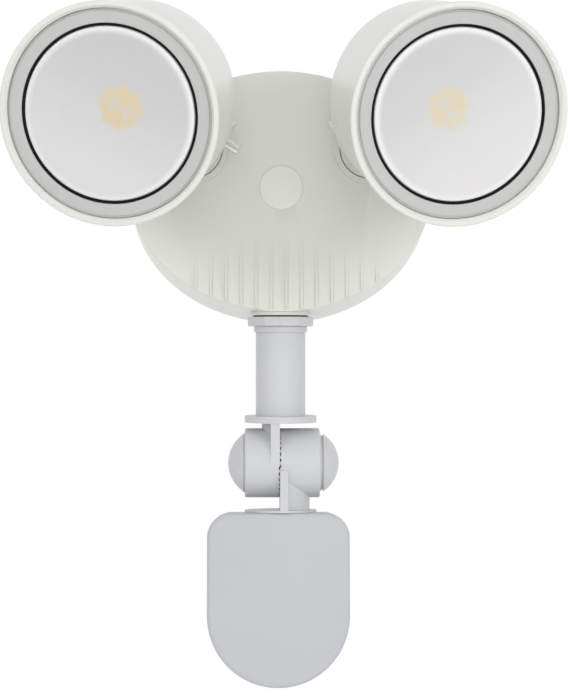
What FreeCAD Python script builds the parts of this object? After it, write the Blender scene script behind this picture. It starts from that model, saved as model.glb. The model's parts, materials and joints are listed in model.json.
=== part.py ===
import FreeCAD, Part
import math
import os
import re
import Sketcher

# Twin-head security light with a hanging motion sensor.
# Frame: X to the right, Y into the wall, Z up. The origin is on the centre screw's axis,
# at the wall plane, so everything lies in front of it, at negative Y.

Vector = FreeCAD.Vector
Rotation = FreeCAD.Rotation
Placement = FreeCAD.Placement

SIZES = [
    # oval canopy
    ("face_half_width", 75.3),
    ("face_half_height", 60.1),
    ("face_drop", 1.75),
    ("face_edge_round", 1.2),
    ("rim_half_width", 77.8),
    ("rim_half_height", 64.6),
    ("rim_drop", 2.55),
    ("canopy_depth", 47.0),
    ("canopy_wall", 2.5),
    ("gasket_thickness", 2.0),
    ("gasket_width", 5.0),
    ("gasket_inset", 0.8),
    # cooling ribs on the lower face
    ("rib_pitch", 7.55),
    ("rib_shift", 2.75),
    ("rib_base_width", 2.2),
    ("rib_crest_width", 0.9),
    ("rib_height", 1.2),
    ("rib_start", 13.5),
    ("rib_start_curve", 0.0095),
    ("rib_sink", 0.3),
    # crossbar and its screws
    ("bar_half_length", 52.0),
    ("bar_half_width", 8.0),
    ("bar_thickness", 2.0),
    ("slot_half_spacing", 44.45),
    ("slot_half_length", 5.0),
    ("slot_radius", 2.3),
    ("ground_screw_x", 22.0),
    ("ground_screw_radius", 1.75),
    ("ground_head_radius", 4.0),
    ("ground_head_height", 2.6),
    ("centre_screw_radius", 2.5),
    ("centre_head_radius", 4.6),
    ("centre_head_height", 2.8),
    ("cup_radius", 13.4),
    ("cup_depth", 6.0),
    ("cup_floor", 3.0),
    ("plug_radius", 10.7),
    ("plug_wall", 2.4),
    ("plug_edge_rise", 0.6),
    ("plug_crown", 1.4),
    # driver case
    ("case_half_width", 27.0),
    ("case_depth", 20.0),
    ("case_low", 27.0),
    ("case_high", 46.0),
    ("ear_length", 8.0),
    ("ear_thickness", 2.0),
    ("ear_post_height", 6.0),
    ("ear_post_radius", 3.5),
    ("small_screw_radius", 1.3),
    ("small_head_radius", 2.7),
    ("small_head_height", 1.7),
    # swivel bosses and arms
    ("boss_x", 43.7),
    ("boss_z", 18.75),
    ("boss_radius", 17.2),
    ("boss_height", 5.0),
    ("boss_recess_radius", 14.7),
    ("boss_recess_depth", 2.0),
    ("boss_pad_radius", 12.5),
    ("boss_pad_depth", 3.5),
    ("arm_seal_thickness", 1.1),
    ("arm_stem_radius", 6.5),
    ("arm_stem_below", 15.0),
    ("arm_wire_radius", 3.5),
    ("foot_radius", 14.3),
    ("foot_thickness", 4.0),
    ("foot_tooth_out", 12.7),
    ("foot_tooth_in", 10.8),
    ("foot_tooth_width", 1.2),
    ("foot_tooth_height", 0.9),
    ("neck_base_radius", 9.5),
    ("neck_top_radius", 8.5),
    ("pivot_height", 25.0),
    ("pivot_along", 30.3),
    ("pivot_across", 9.46),
    ("knuckle_radius", 10.5),
    ("arm_knuckle_out", 8.1),
    ("arm_knuckle_in", 13.0),
    ("knuckle_tooth_height", 0.5),
    ("knuckle_gap", 0.1),
    ("tilt_axis_angle", 32.3),
    ("lamp_tilt", 19.0),
    ("washer_radius", 11.5),
    ("washer_thickness", 1.0),
    ("arm_nut_radius", 10.9),
    ("arm_nut_thickness", 5.0),
    ("bolt_radius", 2.4),
    ("bolt_head_radius", 3.8),
    ("bolt_head_height", 2.6),
    ("bolt_pocket_radius", 4.4),
    ("bolt_pocket_depth", 3.4),
    ("bolt_nut_radius", 4.1),
    ("bolt_nut_height", 3.2),
    ("bolt_tail", 8.0),
    # lamp heads, measured forwards from the tilt axis
    ("back_plane", 12.0),
    ("back_radius", 46.2),
    ("back_corner", 8.0),
    ("body_front_radius", 48.4),
    ("body_front", 72.6),
    ("rim_radius", 49.65),
    ("rim_front", 76.6),
    ("rim_edge_round", 0.8),
    ("rim_chamfer", 1.2),
    ("bezel_seat_radius", 46.4),
    ("lens_seat", 68.9),
    ("cavity_radius", 45.2),
    ("sink_seat", 50.4),
    ("cavity_low_radius", 43.6),
    ("back_wall", 3.0),
    ("lug_half_width", 8.5),
    ("lug_end", 2.0),
    ("bezel_rise", 74.8),
    ("bezel_inner_radius", 40.15),
    ("ring_inner_radius", 38.75),
    ("ring_front", 74.3),
    ("lens_radius", 38.6),
    ("lens_thickness", 2.0),
    ("lens_edge", 73.6),
    ("lens_sag", 3.3),
    ("sink_thickness", 4.0),
    ("pedestal_radius", 21.0),
    ("pedestal_height", 4.0),
    ("board_radius", 22.0),
    ("board_thickness", 1.6),
    ("board_screw_circle", 17.0),
    ("led_size", 2.8),
    ("led_height", 0.8),
    ("led_inner_circle", 2.9),
    ("led_outer_circle", 7.2),
    ("reflector_thickness", 1.0),
    ("reflector_inner_radius", 20.2),
    # sensor port and stem
    ("stem_setback", 30.5),
    ("port_radius", 14.8),
    ("port_bottom", 63.75),
    ("port_top", 52.0),
    ("port_pad_radius", 18.5),
    ("port_face_radius", 17.4),
    ("thread_radius", 10.1),
    ("stem_seal_radius", 13.8),
    ("stem_seal_thickness", 0.6),
    ("locknut_radius", 16.7),
    ("locknut_thickness", 4.8),
    ("collar_radius", 13.5),
    ("collar_height", 3.0),
    ("tube_radius", 12.65),
    ("tube_length", 42.5),
    ("tube_bore", 8.0),
    ("flange_radius", 18.3),
    ("flange_thickness", 3.3),
    ("axis_below_flange", 20.7),
    ("barrel_radius", 17.6),
    ("left_barrel_length", 17.2),
    ("left_barrel_start", 1.1),
    ("right_barrel_length", 19.7),
    ("tooth_height", 0.55),
    ("tooth_gap", 0.1),
    ("upper_web_width", 4.6),
    ("upper_neck_radius", 9.5),
    ("lower_web_width", 3.9),
    ("lower_web_reach", 18.2),
    ("lower_web_top", 4.0),
    ("lower_neck_radius", 14.8),
    ("pin_radius", 3.0),
    ("pin_head_radius", 5.2),
    ("pin_head_height", 3.4),
    ("cap_radius", 14.3),
    ("cap_lip_radius", 14.9),
    ("cap_lip_length", 1.0),
    ("cap_height", 7.4),
    ("cap_wall", 1.8),
    ("knob_collar_length", 2.2),
    ("knob_groove", 0.7),
    ("knob_radius", 14.3),
    ("knob_height", 7.6),
    # sensor, measured down from the knuckle axis
    ("sensor_tilt", 3.4),
    ("plate_radius", 18.3),
    ("plate_top", 23.8),
    ("plate_thickness", 1.1),
    ("spigot_radius", 7.0),
    ("spigot_length", 4.0),
    ("sensor_shift", 1.35),
    ("sensor_half_width", 35.6),
    ("sensor_top", 25.0),
    ("sensor_bottom", 111.3),
    ("sensor_corner", 11.9),
    ("sensor_front", 19.0),
    ("cover_depth", 9.5),
    ("cover_round", 2.4),
    ("sensor_wall", 2.0),
    ("sensor_back", 17.0),
    ("base_inset", 0.6),
    ("base_round", 2.0),
    ("window_top", 78.0),
    ("window_back", 12.0),
    ("lens_wall", 1.5),
    ("sensor_post_radius", 3.4),
    ("sensor_post_x", 24.0),
    ("sensor_post_high", 38.0),
    ("sensor_post_low", 72.0),
    ("pcb_half_width", 19.0),
    ("pcb_high", 34.0),
    ("pcb_low", 84.0),
    ("pcb_front", 2.0),
    ("standoff_radius", 2.5),
    ("standoff_x", 15.0),
    ("detector_z", 66.0),
    ("detector_radius", 4.6),
    ("detector_flange", 5.0),
    ("detector_height", 4.4),
    ("riser_half_width", 11.0),
    ("riser_reach", 9.5),
    ("dial_x", 11.0),
    ("dial_z", 52.0),
    ("dial_radius", 6.0),
    ("dial_height", 2.8),
    ("dial_recess", 1.4),
    ("dial_shaft_radius", 2.2),
    ("dial_slot_width", 1.4),
    # fits
    ("running_gap", 0.08),
    ("face_gap", 0.05),
    ("loose_gap", 0.2),
]

RIBS_EACH_SIDE = 6
FOOT_TEETH = 24
ARM_KNUCKLE_BARS = 12
SENSOR_KNUCKLE_BARS = 18
LOCKNUT_SIDES = 12
INNER_LEDS = 2
OUTER_LEDS = 8
BOARD_SCREWS = 3

NAMES = {name for name, size in SIZES}
TURNS = {
    "z": Rotation(),
    "-z": Rotation(Vector(1, 0, 0), 180),
    "-y": Rotation(Vector(1, 0, 0), 90),
    "y": Rotation(Vector(1, 0, 0), -90),
    "x": Rotation(Vector(0, 1, 0), 90),
    "-x": Rotation(Vector(0, 1, 0), -90),
}

doc = FreeCAD.newDocument("SecurityLight")
sheet = doc.addObject("Spreadsheet::Sheet", "Sizes")
finished = []


def fill_sheet():
    for row, (name, size) in enumerate(SIZES, start=1):
        sheet.set("A%d" % row, name)
        sheet.set("B%d" % row, str(size))
        sheet.setAlias("B%d" % row, name)
    doc.recompute()


def bound(text):
    """Writes the size names in a formula as references to the sheet's cells."""
    return re.sub(r"[a-z_]+", lambda word: prefixed(word.group()), text)


def prefixed(word):
    return "Sizes." + word if word in NAMES else word


def number(text):
    return float(sheet.evalExpression(bound(text)))


def bind(thing, **formulas):
    for name, text in formulas.items():
        thing.setExpression(name.replace("__", "."), bound(text))


def put(thing, at, along="z"):
    thing.Placement = Placement(Vector(), TURNS[along])
    for axis, text in zip("xyz", at):
        if text != "0":
            thing.setExpression("Placement.Base." + axis, bound(text))
    return thing


def rod(name, radius, length, at=("0", "0", "0"), along="z"):
    thing = doc.addObject("Part::Cylinder", name)
    bind(thing, Radius=radius, Height=length)
    return put(thing, at, along)


def block(name, size, at=("0", "0", "0")):
    thing = doc.addObject("Part::Box", name)
    bind(thing, Length=size[0], Width=size[1], Height=size[2])
    return put(thing, at)


def prism(name, sides, radius, length, at=("0", "0", "0"), along="z"):
    thing = doc.addObject("Part::Prism", name)
    thing.Polygon = sides
    bind(thing, Circumradius=radius, Height=length)
    return put(thing, at, along)


def fuse(name, *things):
    whole = doc.addObject("Part::MultiFuse", name)
    whole.Shapes = list(things)
    whole.Refine = False
    return whole


def common(name, *things):
    whole = doc.addObject("Part::MultiCommon", name)
    whole.Shapes = list(things)
    whole.Refine = False
    return whole


def cut(name, base, *tools):
    tool = tools[0] if len(tools) == 1 else fuse(name + "_tools", *tools)
    whole = doc.addObject("Part::Cut", name)
    whole.Base = base
    whole.Tool = tool
    whole.Refine = False
    return whole


def turned(name, outline, arcs=None):
    """Revolves a closed outline of (radius, height) formulas about Z.

    arcs maps the index of a segment to its radius and the side of its centre,
    which is 1 when the centre lies to the left of the way along the outline.
    """
    arcs = arcs or {}
    body = doc.addObject("PartDesign::Body", name)
    sketch = body.newObject("Sketcher::SketchObject", name + "_outline")
    planes = [plane for plane in body.Origin.OriginFeatures if plane.Role == "XZ_Plane"]
    sketch.AttachmentSupport = [(planes[0], "")]
    sketch.MapMode = "FlatFace"
    points = [Vector(number(radius), number(height), 0) for radius, height in outline]
    count = len(points)
    starts = []
    ends = []
    for index in range(count):
        first = points[index]
        last = points[(index + 1) % count]
        if index in arcs:
            curve, forward = outline_arc(first, last, number(arcs[index][0]), arcs[index][1])
        else:
            curve, forward = Part.LineSegment(first, last), True
        sketch.addGeometry(curve, False)
        starts.append(1 if forward else 2)
        ends.append(2 if forward else 1)
    for index in range(count):
        following = (index + 1) % count
        sketch.addConstraint(
            Sketcher.Constraint("Coincident", index, ends[index], following, starts[following])
        )
    for index, (radius, height) in enumerate(outline):
        tie_point(sketch, "DistanceX", radius, -2, index, starts[index], points[index].x)
        tie_point(sketch, "DistanceY", height, -1, index, starts[index], points[index].y)
    for index, (radius, side) in arcs.items():
        row = sketch.addConstraint(Sketcher.Constraint("Radius", index, number(radius)))
        sketch.setExpression("Constraints[%d]" % row, bound(radius))
    revolution = body.newObject("PartDesign::Revolution", name + "_turn")
    revolution.Profile = sketch
    revolution.ReferenceAxis = (sketch, ["V_Axis"])
    revolution.Angle = 360
    body.Tip = revolution
    return body


def outline_arc(first, last, radius, side):
    middle = (first + last) * 0.5
    way = last - first
    left = Vector(-way.y, way.x, 0).normalize()
    height = math.sqrt(max(radius**2 - (way.Length / 2) ** 2, 0))
    centre = middle + left * (side * height)
    start, end = (first, last) if side > 0 else (last, first)
    start_angle = math.atan2(start.y - centre.y, start.x - centre.x)
    end_angle = math.atan2(end.y - centre.y, end.x - centre.x)
    circle = Part.Circle(centre, Vector(0, 0, 1), radius)
    return Part.ArcOfCircle(circle, start_angle, end_angle), side > 0


def tie_point(sketch, kind, text, axis, index, end, value):
    if text == "0":
        sketch.addConstraint(Sketcher.Constraint("PointOnObject", index, end, axis))
        return
    row = sketch.addConstraint(Sketcher.Constraint(kind, -1, 1, index, end, value))
    sketch.setExpression("Constraints[%d]" % row, bound(text))


def rounded(name, base, radius, wanted):
    """Rounds the edges of base that the test called wanted picks."""
    doc.recompute()
    size = number(radius)
    chosen = [
        (index, size, size)
        for index, edge in enumerate(base.Shape.Edges, start=1)
        if wanted(edge.BoundBox)
    ]
    fillet = doc.addObject("Part::Fillet", name)
    fillet.Base = base
    fillet.Edges = chosen
    return fillet


def serration(name, bars, inner, outer, low, height):
    """Radial teeth on a ring, from crossing bars that a ring trims."""
    ring = cut(
        name + "_ring",
        rod(name + "_outer", outer, height, ("0", "0", low)),
        rod(name + "_inner", inner, height, ("0", "0", low)),
    )
    crossing = []
    for turn in range(bars):
        bar = doc.addObject("Part::Box", "%s_bar_%d" % (name, turn + 1))
        width = "(%s) * pi / %d" % (outer, 2 * bars)
        bind(bar, Length="2 * (%s)" % outer, Width=width, Height=height)
        spin = Rotation(Vector(0, 0, 1), 180.0 * turn / bars)
        corner = Vector(-number(outer), -number(width) / 2, number(low))
        bar.Placement = Placement(spin.multVec(corner), spin)
        crossing.append(bar)
    return common(name, ring, fuse(name + "_bars", *crossing))


def finish(thing, label, where=None):
    thing.Label = label
    if where is not None:
        thing.Placement = where
    finished.append(thing)


def oval(name, half_width, half_height, drop, depth):
    """An upright ellipse, depth in front of the wall plane."""
    curve = doc.addObject("Part::Ellipse", name)
    bind(curve, MajorRadius=half_width, MinorRadius=half_height)
    return put(curve, ("0", "-(%s)" % depth, "-(%s)" % drop), "-y")


def oval_solid(name, inset, back, front, edge="0"):
    """The canopy's tapered form, drawn in by inset, between two depths.

    edge is the size of the softened edge round the face.
    """
    sections = [
        oval(name + "_rear", "rim_half_width - %s" % inset, "rim_half_height - %s" % inset,
             "rim_drop", back)
    ]
    steps = [("0", "0")]
    if edge != "0":
        steps = [("0", edge), ("0.3 * " + edge, "0.3 * " + edge), (edge, "0")]
    for index, (narrowing, setback) in enumerate(steps, start=1):
        sections.append(
            oval(
                "%s_front_%d" % (name, index),
                "face_half_width - %s - %s" % (inset, narrowing),
                "face_half_height - %s - %s" % (inset, narrowing),
                "face_drop",
                "%s - %s" % (front, setback),
            )
        )
    loft = doc.addObject("Part::Loft", name)
    loft.Sections = sections
    loft.Solid = True
    loft.Ruled = True
    return loft


# ---------------------------------------------------------------- canopy

def make_rib(index):
    """One cooling rib, which grows from nothing to its full height at the lower edge."""
    place = "(rib_shift + %d * rib_pitch)" % index
    foot = "(face_drop + face_half_height * sqrt(1 - (%s / face_half_width) ^ 2) - 0.8)" % place
    rib = doc.addObject("Part::Wedge", "rib_%d" % (index + RIBS_EACH_SIDE + 1))
    bind(
        rib,
        Xmin="-rib_base_width / 2",
        Xmax="rib_base_width / 2",
        Ymax="rib_height + rib_sink",
        Zmax="%s - (rib_start + rib_start_curve * %s ^ 2)" % (foot, place),
        X2min="-rib_crest_width / 2",
        X2max="rib_crest_width / 2",
        Z2max="rib_crest_width",
    )
    rib.Xmin, rib.Ymin, rib.Zmin, rib.Z2min = -1, 0, 0, 0
    rib.Placement = Placement(Vector(), Rotation(Vector(0, 0, 1), 180))
    bind(
        rib,
        Placement__Base__x=place,
        Placement__Base__y="-(canopy_depth - rib_sink)",
        Placement__Base__z="-%s" % foot,
    )
    return rib


def boss_rods(side, name, radius, depth_low, depth_high):
    """A rod on a swivel boss's axis, between two heights over the canopy face."""
    return rod(
        "%s_%s" % (name, side_name(side)),
        radius,
        "(%s) - (%s)" % (depth_high, depth_low),
        ("%d * boss_x" % side, "-(canopy_depth + (%s))" % depth_low, "boss_z"),
        "-y",
    )


def side_name(side):
    return "right" if side > 0 else "left"


def make_canopy_housing():
    outer = oval_solid("canopy_outer", "0", "gasket_thickness", "canopy_depth",
                       "face_edge_round")
    inner = oval_solid("canopy_inner", "canopy_wall", "gasket_thickness",
                       "canopy_depth - canopy_wall")
    cup_low = "canopy_depth - cup_depth - cup_floor"
    adds = [
        rod("cup_wall", "cup_radius", "cup_depth + cup_floor", ("0", "-(%s)" % cup_low, "0"), "-y"),
        rod("port_wall", "port_radius", "port_bottom - port_top",
            ("0", "-stem_setback", "-port_bottom")),
        common(
            "port_pad",
            rod("port_pad_rod", "port_pad_radius", "port_bottom - port_top",
                ("0", "-stem_setback", "-(port_bottom + 3)")),
            oval_solid("port_pad_limit", "0", "gasket_thickness", "canopy_depth"),
        ),
    ]
    cuts = [
        rod("cup_recess", "plug_radius + loose_gap", "cup_depth + 5",
            ("0", "-(canopy_depth - cup_depth)", "0"), "-y"),
        rod("cup_bore", "centre_screw_radius + loose_gap", "cup_depth + 20",
            ("0", "-(canopy_depth - cup_depth - cup_floor - 5)", "0"), "-y"),
        rod("port_face", "port_face_radius", "20", ("0", "-stem_setback", "-(port_bottom + 20)")),
        rod("port_bore", "thread_radius + running_gap", "port_bottom",
            ("0", "-stem_setback", "-(port_bottom + 5)")),
    ]
    for side in (-1, 1):
        adds.append(boss_rods(side, "boss", "boss_radius", "-1", "boss_height"))
        adds.append(boss_rods(side, "boss_pad", "boss_pad_radius",
                              "-(canopy_wall + boss_pad_depth)", "0"))
        cuts.append(boss_rods(side, "boss_recess", "boss_recess_radius",
                              "boss_height - boss_recess_depth", "boss_height + 5"))
        cuts.append(boss_rods(side, "boss_bore", "arm_stem_radius + running_gap", "-30", "10"))
        adds.append(ear_post(side, "ear_post", "ear_post_radius", "ear_post_height + 1", "1"))
        cuts.append(ear_post(side, "ear_pilot", "small_screw_radius", "ear_post_height", "0"))
    ribs = [make_rib(index) for index in range(-RIBS_EACH_SIDE, RIBS_EACH_SIDE + 1)]
    shell = cut("canopy_shell", outer, inner)
    whole = fuse("canopy_whole", shell, *(adds + ribs))
    finish(cut("canopy_housing", whole, *cuts), "canopy_housing")


def ear_post(side, name, radius, length, sink):
    """A rod on the axis of one driver case screw, from sink inside the face's back wall."""
    return rod(
        "%s_%s" % (name, side_name(side)),
        radius,
        length,
        (
            "%d * (case_half_width + ear_length / 2)" % side,
            "-(canopy_depth - canopy_wall + %s)" % sink,
            "(case_low + case_high) / 2",
        ),
        "y",
    )


def make_wall_gasket():
    inset = "gasket_inset"
    ring = []
    for name, extra in (("gasket_outer", "0"), ("gasket_inner", "gasket_width")):
        thing = doc.addObject("Part::Loft", name)
        half_width = "rim_half_width - %s - %s" % (inset, extra)
        half_height = "rim_half_height - %s - %s" % (inset, extra)
        thing.Sections = [
            oval(name + "_back", half_width, half_height, "rim_drop", "0"),
            oval(name + "_front", half_width, half_height, "rim_drop", "gasket_thickness"),
        ]
        thing.Solid = True
        thing.Ruled = True
        ring.append(thing)
    finish(cut("wall_gasket", *ring), "wall_gasket")


def make_crossbar():
    plate = block(
        "bar_plate",
        ("2 * bar_half_length", "bar_thickness", "2 * bar_half_width"),
        ("-bar_half_length", "-bar_thickness", "-bar_half_width"),
    )
    depth = "bar_thickness + 2"
    tools = [
        rod("bar_centre_hole", "centre_screw_radius + face_gap", depth, ("0", "1", "0"), "-y"),
        rod("bar_ground_hole", "ground_screw_radius + face_gap", depth,
            ("ground_screw_x", "1", "0"), "-y"),
    ]
    for side in (-1, 1):
        middle = "%d * slot_half_spacing" % side
        reach = "(slot_half_length - slot_radius)"
        for end in (-1, 1):
            tools.append(
                rod("slot_end_%d_%d" % (side + 1, end + 1), "slot_radius", depth,
                    ("%s + %d * %s" % (middle, end, reach), "1", "0"), "-y")
            )
        tools.append(
            block("slot_middle_%d" % (side + 1), ("2 * %s" % reach, depth, "2 * slot_radius"),
                  ("%s - %s" % (middle, reach), "-(bar_thickness + 1)", "-slot_radius"))
        )
    finish(cut("mounting_crossbar", plate, *tools), "mounting_crossbar")


def make_centre_screw():
    """Pan-head screw from the cup's floor to the crossbar's threaded hole."""
    seat = "canopy_depth - cup_depth + face_gap"
    head = rod("centre_head", "centre_head_radius", "centre_head_height",
               ("0", "-(%s)" % seat, "0"), "-y")
    shank = rod("centre_shank", "centre_screw_radius", seat, ("0", "0", "0"), "-y")
    slots = cross_slot("centre_slot", "centre_head_radius * 1.1", "0", "0",
                       "-(%s + centre_head_height)" % seat)
    finish(cut("centre_screw", fuse("centre_whole", head, shank), *slots), "centre_screw")


def cross_slot(name, length, x, z, y):
    """Two crossing driver slots, cut 1.2 mm deep into a head whose top is at y."""
    first = block(name + "_a", (length, "2.4", "1"),
                  ("%s - %s / 2" % (x, length), "%s - 1.2" % y, "%s - 0.5" % z))
    second = block(name + "_b", ("1", "2.4", length),
                   ("%s - 0.5" % x, "%s - 1.2" % y, "%s - %s / 2" % (z, length)))
    return first, second


def make_centre_plug():
    top = "(cup_depth + plug_edge_rise)"
    crown = "(%s + plug_crown)" % top
    cavity = "(%s - plug_wall)" % top
    inner = "(plug_radius - plug_wall)"
    radius = "((plug_radius ^ 2 + plug_crown ^ 2) / (2 * plug_crown))"
    outline = [
        ("0", cavity),
        (inner, cavity),
        (inner, "face_gap"),
        ("plug_radius", "face_gap"),
        ("plug_radius", top),
        ("0", crown),
    ]
    plug = turned("centre_plug", outline, {4: (radius, 1)})
    seat = Vector(0, -number("canopy_depth - cup_depth"), 0)
    finish(plug, "centre_plug", Placement(seat, TURNS["-y"]))


def make_ground_screw():
    """Hex-head screw in the crossbar's earth hole."""
    head = prism("ground_head", 6, "ground_head_radius", "ground_head_height",
                 ("ground_screw_x", "-(bar_thickness + face_gap)", "0"), "-y")
    shank = rod("ground_shank", "ground_screw_radius", "bar_thickness + face_gap",
                ("ground_screw_x", "0", "0"), "-y")
    finish(fuse("ground_screw", head, shank), "ground_screw")


def make_driver():
    wall = "canopy_depth - canopy_wall"
    case = block(
        "driver_box",
        ("2 * case_half_width", "case_depth", "case_high - case_low"),
        ("-case_half_width", "-(%s)" % wall, "case_low"),
    )
    case_round = rounded(
        "driver_box_round", case, "1.5",
        lambda box: box.YMin > -number("canopy_depth - canopy_wall") + 1,
    )
    ears = []
    holes = []
    for side in (-1, 1):
        corner = "case_half_width" if side > 0 else "-(case_half_width + ear_length)"
        height = "%s - ear_post_height" % wall
        ears.append(
            block("driver_ear_%s" % side_name(side),
                  ("ear_length", "ear_thickness", "case_high - case_low - 4"),
                  (corner, "-(%s)" % height, "case_low + 2"))
        )
        holes.append(
            rod("driver_ear_hole_%s" % side_name(side), "small_screw_radius + loose_gap",
                "ear_thickness + 2",
                ("%d * (case_half_width + ear_length / 2)" % side, "-(%s + 1)" % height,
                 "(case_low + case_high) / 2"), "y")
        )
    finish(cut("driver_case", fuse("driver_whole", case_round, *ears), *holes), "driver_case")
    screws = []
    for side in (-1, 1):
        x = "%d * (case_half_width + ear_length / 2)" % side
        z = "(case_low + case_high) / 2"
        top = "-(%s - ear_post_height - ear_thickness)" % wall
        head = rod("driver_head_%s" % side_name(side), "small_head_radius", "small_head_height",
                   (x, "%s + face_gap" % top, z), "y")
        shank = rod("driver_shank_%s" % side_name(side), "small_screw_radius - face_gap",
                    "ear_thickness + 5", (x, "%s + face_gap" % top, z), "-y")
        screws.append(fuse("driver_screw_%s" % side_name(side), head, shank))
    finish(fuse("driver_screws", *screws), "driver_screws")


def make_arm_seals():
    for side in (-1, 1):
        floor = "boss_height - boss_recess_depth + face_gap"
        ring = cut(
            "arm_seal_" + side_name(side),
            boss_rods(side, "arm_seal_outer", "foot_radius", floor,
                      "%s + arm_seal_thickness" % floor),
            boss_rods(side, "arm_seal_inner", "arm_stem_radius + 1.5", "0", "boss_height"),
        )
        finish(ring, side_name(side) + "_arm_seal")


# ---------------------------------------------------------------- arms

def tilt_direction(side):
    angle = math.radians(number("tilt_axis_angle"))
    return Vector(side * math.cos(angle), 0, math.sin(angle))


def arm_frame(side):
    """Origin on the canopy face at the boss, X along the tilt axis, Z straight out."""
    along = tilt_direction(side)
    out = Vector(0, -1, 0)
    base = Vector(side * number("boss_x"), -number("canopy_depth"), number("boss_z"))
    return Placement(base, Rotation(along, out.cross(along), out, "ZXY"))


def head_frame(side):
    """Origin on the tilt axis below the lamp's axis, X along the tilt axis, Z to the lens."""
    arm = arm_frame(side)
    along = tilt_direction(side)
    across = Vector(-side * along.z, 0, abs(along.x))
    tilt = math.radians(number("lamp_tilt"))
    front = Vector(0, -math.cos(tilt), 0) - across * math.sin(tilt)
    pivot = arm.multVec(
        Vector(number("pivot_along"), side * number("pivot_across"), number("pivot_height"))
    )
    return Placement(pivot, Rotation(along, front.cross(along), front, "ZXY"))


FOOT_LOW = "(boss_height - boss_recess_depth + arm_seal_thickness + 3 * face_gap)"
FOOT_TOP = "(%s + foot_thickness)" % FOOT_LOW


def make_arm(side):
    """Knuckle arm: foot, leaning neck, toothed knuckle half and hollow stem."""
    key = side_name(side)
    across = "%d * pivot_across" % side
    foot = rod("foot_" + key, "foot_radius", "foot_thickness", ("0", "0", FOOT_LOW))
    stem = rod("arm_stem_" + key, "arm_stem_radius", "arm_stem_below + %s" % FOOT_LOW,
               ("0", "0", "-arm_stem_below"))
    knuckle = rod("arm_knuckle_" + key, "knuckle_radius",
                  "arm_knuckle_in + arm_knuckle_out - knuckle_tooth_height",
                  ("-arm_knuckle_in", across, "pivot_height"), "x")
    teeth = serration("arm_teeth_" + key, ARM_KNUCKLE_BARS, "bolt_pocket_radius + 1",
                      "knuckle_radius - 0.3", "0", "2 * knuckle_tooth_height")
    teeth.Placement = Placement(
        Vector(number("arm_knuckle_out - 2 * knuckle_tooth_height"), number(across),
               number("pivot_height")),
        TURNS["x"],
    )
    neck = common(
        "neck_" + key,
        leaning_cone("neck_cone_" + key, "neck_base_radius", "neck_top_radius",
                     Vector(0, 0, number(FOOT_TOP) - 1),
                     Vector(number("(arm_knuckle_out - arm_knuckle_in) / 2"), number(across),
                            number("pivot_height"))),
        rod("neck_limit_" + key, "3 * neck_base_radius", "pivot_height",
            ("0", "0", FOOT_TOP + " - 1")),
    )
    grips = []
    for index in range(FOOT_TEETH):
        tooth = doc.addObject("Part::Box", "foot_tooth_%s_%d" % (key, index + 1))
        bind(tooth, Length="foot_tooth_out - foot_tooth_in", Width="foot_tooth_width",
             Height="foot_tooth_height + 1")
        spin = Rotation(Vector(0, 0, 1), 360.0 * index / FOOT_TEETH)
        corner = Vector(number("foot_tooth_in"), -number("foot_tooth_width") / 2,
                        number(FOOT_TOP) - 1)
        tooth.Placement = Placement(spin.multVec(corner), spin)
        grips.append(tooth)
    bolt_hole = rod("arm_bolt_hole_" + key, "bolt_radius + running_gap", "100",
                    ("-50", across, "pivot_height"), "x")
    pocket = rod("arm_bolt_pocket_" + key, "bolt_pocket_radius", "bolt_pocket_depth + 10",
                 ("-arm_knuckle_in - 10", across, "pivot_height"), "x")
    wire = rod("arm_wire_" + key, "arm_wire_radius", "arm_stem_below + 2 * foot_thickness",
               ("0", "0", "-(arm_stem_below + 1)"))
    gripped = fuse("foot_gripped_" + key, foot, *grips)
    toothed = fuse("arm_knuckle_toothed_" + key, knuckle, teeth)
    whole = fuse("arm_whole_" + key, gripped, stem, toothed, neck)
    finish(cut(key + "_arm", whole, bolt_hole, pocket, wire), key + "_arm", arm_frame(side))


def leaning_cone(name, low_radius, high_radius, low, high):
    """A cone between two points, run on below the lower one by its own radius."""
    cone = doc.addObject("Part::Cone", name)
    bind(cone, Radius1=low_radius, Radius2=high_radius)
    low = low - (high - low).normalize() * number(low_radius)
    way = high - low
    cone.Height = way.Length
    cone.Placement = Placement(low, Rotation(Vector(0, 0, 1), way))
    return cone


def make_arm_fasteners(side):
    """Washer and locknut that hold the arm's stem inside the canopy."""
    key = side_name(side)
    under = "(canopy_wall + boss_pad_depth + face_gap)"
    low = "-(%s + washer_thickness)" % under
    washer = cut(
        "arm_washer_" + key,
        rod("arm_washer_outer_" + key, "washer_radius", "washer_thickness", ("0", "0", low)),
        rod("arm_washer_inner_" + key, "arm_stem_radius + running_gap", "10", ("0", "0", "-12")),
    )
    finish(washer, key + "_arm_washer", arm_frame(side))
    nut_low = "-(%s + washer_thickness + face_gap + arm_nut_thickness)" % under
    nut = cut(
        "arm_nut_" + key,
        prism("arm_nut_body_" + key, 6, "arm_nut_radius", "arm_nut_thickness",
              ("0", "0", nut_low)),
        rod("arm_nut_hole_" + key, "arm_stem_radius + face_gap", "20", ("0", "0", "-20")),
    )
    finish(nut, key + "_arm_nut", arm_frame(side))


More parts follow.
